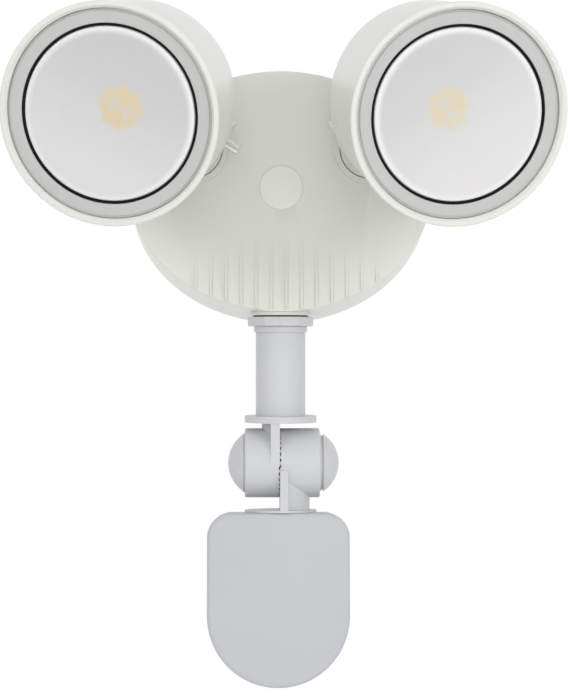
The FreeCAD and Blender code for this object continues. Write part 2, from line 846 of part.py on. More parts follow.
def make_knuckle_bolt(side):
    """Bolt and nut through both knuckle halves. The left one's tail points inboard."""
    key = side_name(side)
    inner_seat = "(pivot_along + arm_knuckle_in - bolt_pocket_depth + face_gap)"
    outer_seat = "(lug_end + bolt_pocket_depth - face_gap)"
    grip = "(%s - %s)" % (inner_seat, outer_seat)
    past_grip = "bolt_pocket_depth + bolt_tail" if side < 0 else "bolt_nut_height"
    head = rod("bolt_head_" + key, "bolt_head_radius", "bolt_head_height",
               ("0", "0", "-bolt_head_height"))
    shank = rod("bolt_shank_" + key, "bolt_radius", "%s + %s" % (grip, past_grip))
    hexagon = prism("bolt_socket_" + key, 6, "bolt_radius", "1.6",
                    ("0", "0", "-bolt_head_height - 0.1"))
    bolt = cut("knuckle_bolt_" + key, fuse("bolt_whole_" + key, head, shank), hexagon)
    nut = cut(
        "knuckle_nut_" + key,
        prism("bolt_nut_" + key, 6, "bolt_nut_radius", "bolt_nut_height", ("0", "0", grip)),
        rod("bolt_nut_hole_" + key, "bolt_radius + face_gap", "100"),
    )
    outboard = head_frame(side).multiply(Placement(Vector(-number(outer_seat), 0, 0), TURNS["-x"]))
    inboard = head_frame(side).multiply(Placement(Vector(-number(inner_seat), 0, 0), TURNS["x"]))
    where = outboard if side < 0 else inboard
    finish(bolt, key + "_knuckle_bolt", where)
    finish(nut, key + "_knuckle_nut", where)


# ---------------------------------------------------------------- lamp heads

def make_lamp_housing(side):
    key = side_name(side)
    outline = [
        ("0", "back_plane"),
        ("back_radius - back_corner", "back_plane"),
        ("back_radius", "back_plane + back_corner"),
        ("body_front_radius", "body_front"),
        ("rim_radius", "body_front + 1"),
        ("rim_radius", "rim_front - rim_edge_round"),
        ("rim_radius - rim_edge_round", "rim_front"),
        ("bezel_seat_radius + rim_chamfer", "rim_front"),
        ("bezel_seat_radius", "rim_front - rim_chamfer"),
        ("bezel_seat_radius", "lens_seat"),
        ("cavity_radius", "lens_seat"),
        ("cavity_radius", "sink_seat"),
        ("cavity_low_radius", "sink_seat"),
        ("back_radius - back_wall", "back_plane + back_corner"),
        ("back_radius - back_corner", "back_plane + back_wall"),
        ("0", "back_plane + back_wall"),
    ]
    arcs = {
        1: ("back_corner", 1),
        5: ("rim_edge_round", 1),
        13: ("back_corner - back_wall", -1),
    }
    shell = turned("housing_shell_" + key, outline, arcs)
    lug_start = "(pivot_along - arm_knuckle_out - knuckle_gap)"
    lug_length = "(%s - lug_end - knuckle_tooth_height)" % lug_start
    barrel = rod("lug_barrel_" + key, "knuckle_radius", lug_length,
                 ("-%s + knuckle_tooth_height" % lug_start, "0", "0"), "x")
    web = block(
        "lug_web_" + key,
        (lug_length, "2 * lug_half_width", "back_plane + back_wall / 2"),
        ("-%s + knuckle_tooth_height" % lug_start, "-lug_half_width", "0"),
    )
    teeth = serration("lug_teeth_" + key, ARM_KNUCKLE_BARS, "bolt_pocket_radius + 1",
                      "knuckle_radius - 0.3", "0", "2 * knuckle_tooth_height")
    teeth.Placement = Placement(Vector(-number(lug_start), 0, 0), TURNS["x"])
    hole = rod("lug_hole_" + key, "bolt_radius + running_gap", lug_start + " + 10",
               ("-%s - 5" % lug_start, "0", "0"), "x")
    pocket = rod("lug_pocket_" + key, "bolt_pocket_radius", "bolt_pocket_depth + 10",
                 ("-lug_end - bolt_pocket_depth", "0", "0"), "x")
    whole = fuse("housing_whole_" + key, shell, barrel, web, teeth)
    finish(cut(key + "_lamp_housing", whole, hole, pocket), key + "_lamp_housing",
           head_frame(side))


def make_lens_stack(side):
    """Lens, black gasket ring and bezel ring, from the back to the front."""
    key = side_name(side)
    where = head_frame(side)
    flange = "(bezel_seat_radius - loose_gap)"
    low = "(lens_seat + face_gap)"
    high = "(%s + lens_thickness)" % low
    inner = "(lens_radius - lens_thickness)"
    dome = "((lens_radius ^ 2 + lens_sag ^ 2) / (2 * lens_sag))"
    inner_dome = "((%s ^ 2 + lens_sag ^ 2) / (2 * lens_sag))" % inner
    lens = turned(
        "lens_" + key,
        [
            ("0", "lens_edge + lens_sag - lens_thickness"),
            (inner, "lens_edge - lens_thickness"),
            (inner, low),
            (flange, low),
            (flange, high),
            ("lens_radius", high),
            ("lens_radius", "lens_edge"),
            ("0", "lens_edge + lens_sag"),
        ],
        {0: (inner_dome, -1), 6: (dome, 1)},
    )
    finish(lens, key + "_lens", where)
    base = "(%s + face_gap)" % high
    ring = turned(
        "lens_gasket_" + key,
        [
            ("ring_inner_radius", base),
            ("bezel_inner_radius - running_gap", base),
            ("bezel_inner_radius - running_gap", "ring_front - 0.3"),
            ("(ring_inner_radius + bezel_inner_radius) / 2", "ring_front"),
            ("ring_inner_radius", "ring_front - 0.3"),
        ],
    )
    finish(ring, key + "_lens_gasket", where)
    bezel = turned(
        "bezel_ring_" + key,
        [
            ("bezel_inner_radius", base),
            (flange, base),
            (flange, "bezel_rise - 0.7"),
            ("%s - 0.7" % flange, "bezel_rise - 0.7"),
            ("%s - 1.0" % flange, "bezel_rise"),
            ("bezel_inner_radius + 0.5", "bezel_rise - 0.3"),
            ("bezel_inner_radius", "bezel_rise - 0.8"),
        ],
    )
    finish(bezel, key + "_bezel_ring", where)


BOARD_LOW = "(sink_seat + sink_thickness + pedestal_height + 2 * face_gap)"
BOARD_TOP = "(%s + board_thickness)" % BOARD_LOW


def spaced_rods(name, count, circle, radius, low, length, first=0.0):
    """Rods along Z, evenly spaced on a circle."""
    rods = []
    for index in range(count):
        angle = "(%s + 360 / %d * %d)" % (first, count, index)
        at = ("%s * cos(%s)" % (circle, angle), "%s * sin(%s)" % (circle, angle), low)
        rods.append(rod("%s_%d" % (name, index + 1), radius, length, at))
    return rods


def make_light_engine(side):
    """Heat sink plate, LED board with its screws and LEDs, and the reflector over it."""
    key = side_name(side)
    where = head_frame(side)
    low = "(sink_seat + face_gap)"
    top = "(%s + sink_thickness)" % low
    plate = turned(
        "sink_plate_" + key,
        [
            ("0", low),
            ("cavity_radius - loose_gap", low),
            ("cavity_radius - loose_gap", top),
            ("pedestal_radius", top),
            ("pedestal_radius", "%s + pedestal_height" % top),
            ("0", "%s + pedestal_height" % top),
        ],
    )
    pilots = spaced_rods("sink_pilot_" + key, BOARD_SCREWS, "board_screw_circle",
                         "small_screw_radius", "%s + 1" % low, "20")
    finish(cut("heat_sink_" + key, plate, *pilots), key + "_heat_sink", where)
    disc = rod("board_disc_" + key, "board_radius", "board_thickness", ("0", "0", BOARD_LOW))
    holes = spaced_rods("board_hole_" + key, BOARD_SCREWS, "board_screw_circle",
                        "small_screw_radius + loose_gap", BOARD_LOW + " - 5", "10")
    finish(cut("led_board_" + key, disc, *holes), key + "_led_board", where)
    heads = spaced_rods("board_screw_head_" + key, BOARD_SCREWS, "board_screw_circle",
                        "small_head_radius", BOARD_TOP + " + face_gap", "small_head_height")
    shanks = spaced_rods("board_screw_shank_" + key, BOARD_SCREWS, "board_screw_circle",
                         "small_screw_radius - face_gap", BOARD_LOW + " - 5",
                         "5 + board_thickness + 2 * face_gap")
    finish(fuse("led_board_screws_" + key, *(heads + shanks)), key + "_led_board_screws", where)
    leds = []
    for ring, count, circle, start in (
        ("inner", INNER_LEDS, "led_inner_circle", 0.5 if side < 0 else 0.0),
        ("outer", OUTER_LEDS, "led_outer_circle", 0.5),
    ):
        for index in range(count):
            led = doc.addObject("Part::Box", "led_%s_%s_%d" % (ring, key, index + 1))
            bind(led, Length="led_size", Width="led_size", Height="led_height")
            angle = 2 * math.pi * (index + start) / count
            half = number("led_size") / 2
            led.Placement = Placement(
                Vector(number(circle) * math.cos(angle) - half,
                       number(circle) * math.sin(angle) - half,
                       number(BOARD_TOP + " + face_gap")),
                Rotation(),
            )
            leds.append(led)
    finish(fuse("leds_" + key, *leds), key + "_leds", where)
    mouth = "(cavity_radius - loose_gap)"
    reflector = turned(
        "reflector_" + key,
        [
            ("reflector_inner_radius", BOARD_TOP + " + face_gap"),
            ("board_radius", BOARD_TOP + " + face_gap"),
            (mouth, "lens_seat - reflector_thickness - 1"),
            (mouth, "lens_seat - face_gap"),
            (mouth + " - 0.8", "lens_seat - face_gap"),
            ("reflector_inner_radius", BOARD_TOP + " + reflector_thickness"),
        ],
    )
    finish(reflector, key + "_reflector", where)


# ---------------------------------------------------------------- sensor stem

SEAL_LOW = "(port_bottom + face_gap + stem_seal_thickness)"
NUT_LOW = "(%s + face_gap + locknut_thickness)" % SEAL_LOW
COLLAR_LOW = "(%s + face_gap + collar_height)" % NUT_LOW
TUBE_LOW = "(%s + tube_length)" % COLLAR_LOW
FLANGE_LOW = "(%s + flange_thickness)" % TUBE_LOW
AXIS_DOWN = "(%s + axis_below_flange)" % FLANGE_LOW

# The right knuckle half starts one tooth gap beyond the left one's tooth tips.
RIGHT_TEETH_TIP = "(tooth_gap - (left_barrel_start - tooth_height))"
RIGHT_BARREL_END = "(%s + tooth_height + right_barrel_length)" % RIGHT_TEETH_TIP


def stem_rod(name, radius, top, bottom):
    """An upright rod on the stem's axis, between two depths below the origin."""
    return rod(name, radius, "(%s) - (%s)" % (bottom, top),
               ("0", "-stem_setback", "-(%s)" % bottom))


def make_stem_seal():
    ring = cut(
        "stem_seal",
        stem_rod("stem_seal_outer", "stem_seal_radius", "port_bottom + face_gap", SEAL_LOW),
        stem_rod("stem_seal_inner", "thread_radius + running_gap", "port_bottom - 5",
                 SEAL_LOW + " + 5"),
    )
    finish(ring, "stem_seal")


def make_locknut():
    top = SEAL_LOW + " + face_gap"
    body = common(
        "locknut_body",
        prism("locknut_prism", LOCKNUT_SIDES, "locknut_radius", "locknut_thickness",
              ("0", "-stem_setback", "-%s" % NUT_LOW)),
        locknut_limit(),
    )
    hole = stem_rod("locknut_hole", "thread_radius + running_gap", top + " - 5", NUT_LOW + " + 5")
    finish(cut("stem_locknut", body, hole), "stem_locknut")


def locknut_limit():
    """A barrel form that bevels the nut's corners top and bottom."""
    bevel = "0.5"
    limit = turned(
        "locknut_limit",
        [
            ("0", "0"),
            ("locknut_radius - %s - 0.4" % bevel, "0"),
            ("locknut_radius", bevel),
            ("locknut_radius", "locknut_thickness - %s" % bevel),
            ("locknut_radius - %s - 0.4" % bevel, "locknut_thickness"),
            ("0", "locknut_thickness"),
        ],
    )
    limit.Placement = Placement(
        Vector(0, -number("stem_setback"), -number(NUT_LOW)), Rotation()
    )
    return limit


def knuckle_teeth(name, low_x):
    teeth = serration(name, SENSOR_KNUCKLE_BARS, "barrel_radius * 0.6", "barrel_radius", "0",
                      "2 * tooth_height")
    teeth.Placement = Placement(Vector(low_x, 0, 0), TURNS["x"])
    return teeth


def make_stem():
    """Threaded end, collar, tube, flange, neck and the left half of the sensor's knuckle."""
    parts = [
        stem_rod("thread", "thread_radius", "port_top + 1", COLLAR_LOW),
        stem_rod("collar", "collar_radius", NUT_LOW + " + face_gap", COLLAR_LOW),
        stem_rod("tube", "tube_radius", COLLAR_LOW, TUBE_LOW),
        stem_rod("flange", "flange_radius", TUBE_LOW, FLANGE_LOW),
    ]
    start = "(left_barrel_start - tooth_height)"
    barrel = rod("left_barrel", "barrel_radius", "left_barrel_length",
                 ("-left_barrel_start", "-stem_setback", "-%s" % AXIS_DOWN), "-x")
    barrel_round = rounded(
        "left_barrel_round", barrel, "1.0",
        lambda box: box.XMax < -number("left_barrel_length"),
    )
    teeth = knuckle_teeth("left_teeth", -number("left_barrel_start + tooth_height"))
    teeth.Placement.Base += Vector(0, -number("stem_setback"), -number(AXIS_DOWN))
    web = block(
        "upper_web",
        ("upper_web_width", "2 * barrel_radius", "axis_below_flange"),
        ("-(upper_web_width + %s)" % start, "-(stem_setback + barrel_radius)",
         "-%s" % AXIS_DOWN),
    )
    neck = common(
        "upper_neck",
        stem_rod("upper_neck_rod", "upper_neck_radius", FLANGE_LOW, AXIS_DOWN),
        block("upper_neck_half", ("30", "60", "axis_below_flange"),
              ("-(30 + %s)" % start, "-(stem_setback + 30)", "-%s" % AXIS_DOWN)),
    )
    bore = stem_rod("tube_hole", "tube_bore", "port_top - 5", TUBE_LOW + " - 2")
    pin_hole = rod("left_pin_hole", "pin_radius + running_gap", "60",
                   ("5", "-stem_setback", "-%s" % AXIS_DOWN), "-x")
    pocket = rod("left_pin_pocket", "pin_head_radius + loose_gap", "20",
                 ("-(left_barrel_start + left_barrel_length - pin_head_height - face_gap)",
                  "-stem_setback", "-%s" % AXIS_DOWN), "-x")
    whole = fuse("stem_whole", barrel_round, teeth, web, neck, *parts)
    finish(cut("sensor_stem", whole, bore, pin_hole, pocket), "sensor_stem")


def knuckle_place(x, along):
    return Placement(Vector(x, -number("stem_setback"), -number(AXIS_DOWN)), TURNS[along])


def make_knuckle_pin():
    """Bolt through both knuckle halves, its hex head sunk in the left one."""
    seat = "(left_barrel_start + left_barrel_length - pin_head_height)"
    reach = "(%s + tooth_gap + right_barrel_length + knob_height - 2)" % seat
    head = prism("pin_head", 6, "pin_head_radius", "pin_head_height - face_gap",
                 ("0", "0", "-(pin_head_height - face_gap)"))
    shank = rod("pin_shank", "pin_radius", reach)
    bolt = fuse("knuckle_pin", head, shank)
    finish(bolt, "sensor_knuckle_bolt", knuckle_place(-number(seat), "x"))


def dome_radius(width, height):
    return "((%s ^ 2 + %s ^ 2) / (2 * %s))" % (width, height, height)


def make_knuckle_cap():
    """Domed cap over the bolt's head, on the left end of the knuckle."""
    base = "left_barrel_start + left_barrel_length + face_gap"
    inner = "(cap_radius - cap_wall)"
    inner_height = "(cap_height - cap_wall)"
    cap = turned(
        "knuckle_cap",
        [
            ("0", "cap_lip_length + %s" % inner_height),
            (inner, "cap_lip_length"),
            (inner, "0"),
            ("cap_lip_radius", "0"),
            ("cap_lip_radius", "cap_lip_length"),
            ("cap_radius", "cap_lip_length"),
            ("0", "cap_lip_length + cap_height"),
        ],
        {0: (dome_radius(inner, inner_height), -1), 5: (dome_radius("cap_radius", "cap_height"), 1)},
    )
    finish(cap, "sensor_knuckle_cap", knuckle_place(-number(base), "-x"))


def make_clamp_knob():
    """Domed knob with a grooved collar, threaded on the right end of the bolt."""
    groove_low = "(knob_collar_length - 2 * knob_groove)"
    top = "knob_collar_length"
    knob = turned(
        "clamp_knob",
        [
            ("pin_radius + face_gap", "0"),
            ("knob_radius", "0"),
            ("knob_radius", groove_low),
            ("knob_radius - knob_groove", groove_low),
            ("knob_radius - knob_groove", "%s + knob_groove" % groove_low),
            ("knob_radius", "%s + knob_groove" % groove_low),
            ("knob_radius", top),
            ("0", top + " + knob_height"),
            ("0", "knob_height - 1"),
            ("pin_radius + face_gap", "knob_height - 1"),
        ],
        {6: (dome_radius("knob_radius", "knob_height"), 1)},
    )
    base = RIGHT_BARREL_END + " + face_gap"
    finish(knob, "clamp_knob", knuckle_place(number(base), "x"))


# ---------------------------------------------------------------- sensor

def sensor_frame():
    """Origin on the knuckle axis, Z up along the sensor, Y to its back."""
    base = Vector(0, -number("stem_setback"), -number(AXIS_DOWN))
    return Placement(base, Rotation(Vector(1, 0, 0), -number("sensor_tilt")))


def make_bracket():
    """Right half of the knuckle, with its neck, web and the round plate."""
    start = "(%s + tooth_height)" % RIGHT_TEETH_TIP
    barrel = rod("right_barrel", "barrel_radius", "right_barrel_length",
                 (start, "0", "0"), "x")
    barrel_round = rounded(
        "right_barrel_round", barrel, "0.6",
        lambda box: box.XMin > number("right_barrel_length") - 1,
    )
    teeth = knuckle_teeth("right_teeth", number(RIGHT_TEETH_TIP))
    web = block(
        "lower_web",
        ("lower_web_width", "2 * lower_web_reach", "plate_top + plate_thickness - lower_web_top"),
        (RIGHT_TEETH_TIP, "-lower_web_reach", "-(plate_top + plate_thickness)"),
    )
    neck = common(
        "lower_neck",
        rod("lower_neck_rod", "lower_neck_radius", "plate_top", ("0", "0", "-plate_top")),
        block("lower_neck_half", ("30", "60", "plate_top"), (RIGHT_TEETH_TIP, "-30", "-plate_top")),
    )
    plate = rod("plate", "plate_radius", "plate_thickness",
                ("0", "0", "-(plate_top + plate_thickness)"))
    spigot = rod("spigot", "spigot_radius", "plate_thickness + spigot_length",
                 ("0", "0", "-(plate_top + plate_thickness + spigot_length)"))
    hole = rod("right_pin_hole", "pin_radius + running_gap", "60", ("-5", "0", "0"), "x")
    whole = fuse("bracket_whole", barrel_round, teeth, web, neck, plate, spigot)
    finish(cut("sensor_bracket", whole, hole), "sensor_bracket", sensor_frame())


def u_prism(name, inset, back, front):
    """The sensor's outline, round at the bottom, drawn in by inset, between two depths.

    back and front are distances behind the knuckle axis, so front is the smaller.
    """
    half = "(sensor_half_width - (%s))" % inset
    top = "(sensor_top + (%s))" % inset
    corner = "(sensor_corner - (%s))" % inset
    centre = "(sensor_bottom - sensor_half_width)"
    depth = "(%s) - (%s)" % (back, front)
    left = "-sensor_shift - %s" % half
    pieces = [
        rod(name + "_end", half, depth, ("-sensor_shift", front, "-%s" % centre), "y"),
        block(name + "_middle", ("2 * %s" % half, depth, "%s - %s - %s" % (centre, top, corner)),
              (left, front, "-%s" % centre)),
        block(name + "_top", ("2 * (%s - %s)" % (half, corner), depth, "%s + 1" % corner),
              ("%s + %s" % (left, corner), front, "-(%s + %s + 1)" % (top, corner))),
    ]
    for side in (-1, 1):
        pieces.append(
            rod("%s_corner_%d" % (name, side + 1), corner, depth,
                ("-sensor_shift + %d * (%s - %s)" % (side, half, corner), front,
                 "-(%s + %s)" % (top, corner)), "y")
        )
    whole = fuse(name, *pieces)
    whole.Refine = True
    return whole


def make_top_cover():
    front = "-sensor_front"
    split = "(cover_depth - sensor_front)"
    outer = u_prism("cover_outer", "0", split, front)
    outer_round = rounded(
        "cover_outer_round", outer, "cover_round",
        lambda box: box.YMax < -number("sensor_front") + 0.01,
    )
    inner = u_prism("cover_inner", "sensor_wall", split + " + 1", front + " + sensor_wall")
    finish(cut("sensor_top_cover", outer_round, inner), "sensor_top_cover", sensor_frame())


def post_places():
    """Three screw posts: two near the top corners, and one each side lower down."""
    places = []
    for side in (-1, 1):
        for height in ("sensor_post_high", "sensor_post_low"):
            places.append(("-sensor_shift + %d * sensor_post_x" % side, "-%s" % height))
    return places


def make_sensor_base():
    """Lower housing with the lens window, posts, stand-offs and dial seats."""
    split = "(cover_depth - sensor_front + face_gap)"
    floor = "(sensor_back - sensor_wall)"
    outer = u_prism("base_outer", "base_inset", "sensor_back", split)
    outer_round = rounded(
        "base_outer_round", outer, "base_round",
        lambda box: box.YMin > number("sensor_back") - 0.01,
    )
    inner = u_prism("base_inner", "base_inset + sensor_wall", floor, split + " - 1")
    window = block("lens_window", ("100", "window_back - %s + 1" % split, "60"),
                   ("-50", split + " - 1", "-(window_top + 60)"))
    posts = []
    tools = [window]
    for index, (x, z) in enumerate(post_places()):
        posts.append(rod("base_post_%d" % (index + 1), "sensor_post_radius", floor + " + 8 + 0.5",
                         (x, "-8", z), "y"))
        tools.append(rod("base_post_hole_%d" % (index + 1), "small_screw_radius", "60",
                         (x, "-30", z), "y"))
        tools.append(rod("base_post_head_%d" % (index + 1), "small_head_radius + loose_gap", "10",
                         (x, "sensor_back - small_head_height - 0.1", z), "y"))
    for side in (-1, 1):
        posts.append(rod("standoff_%d" % (side + 1), "standoff_radius",
                         floor + " - pcb_front - board_thickness - face_gap + 0.5",
                         ("%d * standoff_x" % side, "pcb_front + board_thickness + face_gap",
                          "-(pcb_high + pcb_low) / 2"), "y"))
        tools.append(rod("dial_seat_%d" % (side + 1), "dial_radius + loose_gap", "10",
                         ("%d * dial_x" % side, "sensor_back - dial_recess", "-dial_z"), "y"))
        tools.append(rod("dial_hole_%d" % (side + 1), "dial_shaft_radius + running_gap", "20",
                         ("%d * dial_x" % side, "sensor_back - 15", "-dial_z"), "y"))
    tools.append(rod("spigot_hole", "spigot_radius + running_gap", "20", ("0", "0", "-40")))
    shell = cut("base_shell", outer_round, inner)
    finish(cut("sensor_base", fuse("base_whole", shell, *posts), *tools), "sensor_base",
           sensor_frame())


def make_lens_band():
    """Segmented infrared lens round the curved end."""
    split = "(cover_depth - sensor_front + 2 * face_gap)"
    back = "(window_back - face_gap)"
    centre = "-(sensor_bottom - sensor_half_width)"
    outer = "(sensor_half_width - base_inset - 0.3)"
    depth = "%s - %s" % (back, split)
    ring = cut(
        "band_ring",
        rod("band_outer", outer, depth, ("-sensor_shift", split, centre), "y"),
        rod("band_inner", outer + " - lens_wall", depth + " + 2",
            ("-sensor_shift", split + " - 1", centre), "y"),
    )
    half = block("band_half", ("100", depth, "60"),
                 ("-50", split, "-(window_top + face_gap + 60)"))
    finish(common("sensor_lens_band", ring, half), "sensor_lens_band", sensor_frame())


def make_sensor_electronics():
    where = sensor_frame()
    board = block(
        "pcb",
        ("2 * pcb_half_width", "board_thickness", "pcb_low - pcb_high"),
        ("-pcb_half_width", "pcb_front", "-pcb_low"),
    )
    hole = rod("pcb_hole", "1", "10", ("0", "-2", "-pcb_high - 4"), "y")
    finish(cut("sensor_board", board, hole), "sensor_board", where)
    riser = block(
        "riser",
        ("2 * riser_half_width", "riser_reach", "board_thickness"),
        ("-riser_half_width", "pcb_front - face_gap - riser_reach", "-detector_z"),
    )
    can_y = "(pcb_front - face_gap - riser_reach / 2)"
    can_top = "-(detector_z + face_gap)"
    flange = rod("can_flange", "detector_flange - 0.3", "0.6", ("0", can_y, can_top), "-z")
    can = rod("can", "detector_radius - 0.4", "detector_height", ("0", can_y, can_top), "-z")
    legs = [
        rod("can_leg_%d" % (side + 1), "0.25", "3", ("%d * 1.8" % side, can_y, can_top))
        for side in (-1, 1)
    ]
    slots = [
        rod("riser_hole_%d" % (side + 1), "0.35", "10",
            ("%d * 1.8" % side, can_y, "-(detector_z + 4)"))
        for side in (-1, 1)
    ]
    finish(cut("detector_board", riser, *slots), "detector_board", where)
    finish(fuse("infrared_detector", flange, can, *legs), "infrared_detector", where)


def make_sensor_screws():
    screws = []
    for index, (x, z) in enumerate(post_places()):
        seat = "(sensor_back - small_head_height)"
        head = rod("sensor_screw_head_%d" % (index + 1), "small_head_radius",
                   "small_head_height - 0.1", (x, seat, z), "y")
        shank = rod("sensor_screw_shank_%d" % (index + 1), "small_screw_radius - face_gap",
                    "22", (x, seat + " + 0.5", z), "-y")
        screws += [head, shank]
    finish(fuse("sensor_screws", *screws), "sensor_screws", sensor_frame())


def make_dial(side, label):
    """Screwdriver dial on the back, with its shaft down to the board."""
    x = "%d * dial_x" % side
    seat = "(sensor_back - dial_recess + face_gap)"
    key = "dial_%d" % (side + 1)
    head = rod(key + "_head", "dial_radius", "dial_height", (x, seat, "-dial_z"), "y")
    shaft = rod(key + "_shaft", "dial_shaft_radius",
                "%s - pcb_front - board_thickness - face_gap" % seat,
                (x, seat, "-dial_z"), "-y")
    slot = block(key + "_slot", ("dial_slot_width", "3", "1.5 * dial_radius"),
                 ("%s - dial_slot_width / 2" % x, "%s + dial_height - 1" % seat,
                  "-dial_z - 0.5 * dial_radius"))
    finish(cut(label, fuse(key + "_whole", head, shaft), slot), label, sensor_frame())


# ---------------------------------------------------------------- checks and files

def check(thing):
    if any(word in ("Invalid", "Error") for word in thing.State):
        raise RuntimeError("%s is in state %s" % (thing.Name, thing.State))


def write_parts():
    doc.recompute()
    for thing in doc.Objects:
        check(thing)
    os.makedirs("parts", exist_ok=True)
    for thing in finished:
        shape = thing.Shape
        if shape.isNull() or not shape.isValid() or not shape.Solids:
            raise RuntimeError("%s has no valid solid" % thing.Label)
        shape.exportStep("parts/%s.step" % thing.Label)
        box = shape.BoundBox
        print("%-26s %2d solids %10.1f mm3  x %.1f %.1f  y %.1f %.1f  z %.1f %.1f" % (
            thing.Label, len(shape.Solids), shape.Volume, box.XMin, box.XMax, box.YMin,
            box.YMax, box.ZMin, box.ZMax))


fill_sheet()
make_canopy_housing()
make_wall_gasket()
make_crossbar()
make_centre_screw()
make_centre_plug()
make_ground_screw()
make_driver()
make_arm_seals()
for lamp_side in (-1, 1):
    make_arm(lamp_side)
    make_arm_fasteners(lamp_side)
    make_knuckle_bolt(lamp_side)
    make_lamp_housing(lamp_side)
    make_lens_stack(lamp_side)
    make_light_engine(lamp_side)
make_stem_seal()
make_locknut()
make_stem()
make_knuckle_pin()
make_knuckle_cap()
make_clamp_knob()
make_bracket()
make_top_cover()
make_sensor_base()
make_lens_band()
make_sensor_electronics()
make_sensor_screws()
make_dial(-1, "range_dial")
make_dial(1, "on_time_dial")
write_parts()
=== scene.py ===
import json
import math

import bmesh
import bpy
from mathutils import Matrix, Vector

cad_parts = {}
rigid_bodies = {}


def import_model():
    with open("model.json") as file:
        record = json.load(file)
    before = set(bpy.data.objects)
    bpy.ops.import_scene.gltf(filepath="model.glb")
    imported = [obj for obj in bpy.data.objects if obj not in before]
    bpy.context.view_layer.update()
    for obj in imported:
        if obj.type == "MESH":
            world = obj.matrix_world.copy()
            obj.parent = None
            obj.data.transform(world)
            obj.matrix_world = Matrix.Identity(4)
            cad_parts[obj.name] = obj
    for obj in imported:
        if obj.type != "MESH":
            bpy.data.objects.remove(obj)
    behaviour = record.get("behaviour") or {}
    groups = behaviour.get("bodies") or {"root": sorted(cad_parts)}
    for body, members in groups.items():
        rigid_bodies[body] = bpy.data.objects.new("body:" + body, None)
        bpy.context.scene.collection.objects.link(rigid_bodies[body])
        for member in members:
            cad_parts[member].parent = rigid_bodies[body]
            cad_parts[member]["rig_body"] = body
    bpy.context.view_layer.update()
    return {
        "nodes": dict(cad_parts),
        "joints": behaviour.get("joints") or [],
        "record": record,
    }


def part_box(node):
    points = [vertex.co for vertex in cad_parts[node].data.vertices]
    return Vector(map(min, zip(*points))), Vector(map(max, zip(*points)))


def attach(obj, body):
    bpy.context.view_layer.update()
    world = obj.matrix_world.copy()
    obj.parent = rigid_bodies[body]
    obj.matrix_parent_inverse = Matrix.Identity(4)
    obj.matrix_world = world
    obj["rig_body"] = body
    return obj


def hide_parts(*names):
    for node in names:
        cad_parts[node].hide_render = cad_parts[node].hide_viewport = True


bl_info = {
    "name": "Motion Sensor Security Light",
    "version": (1, 0, 0),
    "blender": (4, 5, 0),
    "location": "View3D > Sidebar > Security Light",
    "description": "Dresses the packed security light in painted metal, plastic and frosted lenses",
    "category": "Object",
}

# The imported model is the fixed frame: X to the right, Y into the wall, Z up, in metres.
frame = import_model()
JOINTS = {joint["name"]: joint for joint in frame["joints"]}
SLOTS = {entry["node"]: entry["material_slot"] for entry in frame["record"]["subparts"]}
SIDES = ("left", "right")
MM = 0.001

# Mesh work. Points of a CAD mesh this close are one point, and faces that turn less are flat.
CAD_JOIN = 2e-6
CAD_FLAT = math.radians(0.6)
SPIN_JOIN = 1e-7
SLIVER = 1e-8
SMOOTH_ANGLE = 35.0

# Edge softening of the CAD copies, in millimetres, for each group of nodes.
CANOPY_EDGE = 0.3
FIXED_EDGE = 0.2
FIXED_NODES = (
    "mounting_crossbar", "centre_screw", "ground_screw", "wall_gasket", "driver_case",
    "driver_screws",
)
ARM_EDGE = 0.25
ARM_NODES = ("arm", "arm_washer", "arm_nut", "arm_seal", "knuckle_bolt", "knuckle_nut")
HOUSING_EDGE = 0.25
LOCKNUT_EDGE = 0.25
LOCKNUT_SMOOTH_ANGLE = 20.0
SENSOR_EDGES = (
    ("stem_seal", 0.1), ("sensor_stem", 0.3), ("sensor_knuckle_bolt", 0.2),
    ("sensor_knuckle_cap", 0.3), ("clamp_knob", 0.15), ("sensor_bracket", 0.3),
    ("sensor_base", 0.3), ("sensor_lens_band", 0.1), ("sensor_screws", 0.1),
    ("range_dial", 0.2), ("on_time_dial", 0.2),
)

# Rings that crown the sensor cover's face: how far in and how far forwards, in millimetres.
COVER_RINGS = ((0.20, 0.85), (0.55, 0.65), (0.85, 0.38), (1.4, 0.22), (2.0, 0.16), (2.4, 0.09))
COVER_SMOOTH_ANGLE = 50.0

# Each diode's glow on its lens fades out between these distances from its spot, in metres.
SPOT_CORE = 0.0006
SPOT_REACH = 0.0042
# The haze round all the spots: where it starts to fade, where it ends, and its strength.
HAZE_CORE = 0.004
HAZE_REACH = 0.0125
HAZE_STRENGTH = 0.22
# A painted highlight near the lens's edge, as shares of its radius, and factors of painted
# highlight and painted shade on the lens's colour.
PAINTED_HIGHLIGHT_START = 0.90
PAINTED_HIGHLIGHT_END = 0.985
PAINTED_HIGHLIGHT_SHADE = 1.2
# Painted shade: the lens's colour a little lighter at its bottom and darker at its top.
PAINTED_SHADE_LOW = 1.03
PAINTED_SHADE_HIGH = 0.80
# Painted light: the right lens's colour is made lighter than the left's.
LENS_PAINTED_LIGHT = {"left": 1.0, "right": 1.04}
GLOW_STRENGTH = {"left": 0.95, "right": 0.6}

# Span of a noise texture's values that the finishes use.
NOISE_LOW = 0.3
NOISE_HIGH = 0.7

# Lamps: name, place, width, and the stage setting that holds the power. All aim at one point.
LAMPS = (
    ("Front light", (0.05, -0.95, -0.1), 0.6, "front_power"),
    ("Top light", (0, -0.2, 0.95), 0.6, "top_power"),
    ("Left light", (-0.7, -0.8, 0.25), 0.4, "left_power"),
    ("Right light", (0.7, -0.8, 0.25), 0.4, "right_power"),
)
LAMP_TARGET = Vector((0, -0.08, -0.05))
FLOOR_GLOW = 0.45
FILM_WIDTH_MM = 36.0
NEAREST_SEEN = 0.01
FARTHEST_SEEN = 50.0


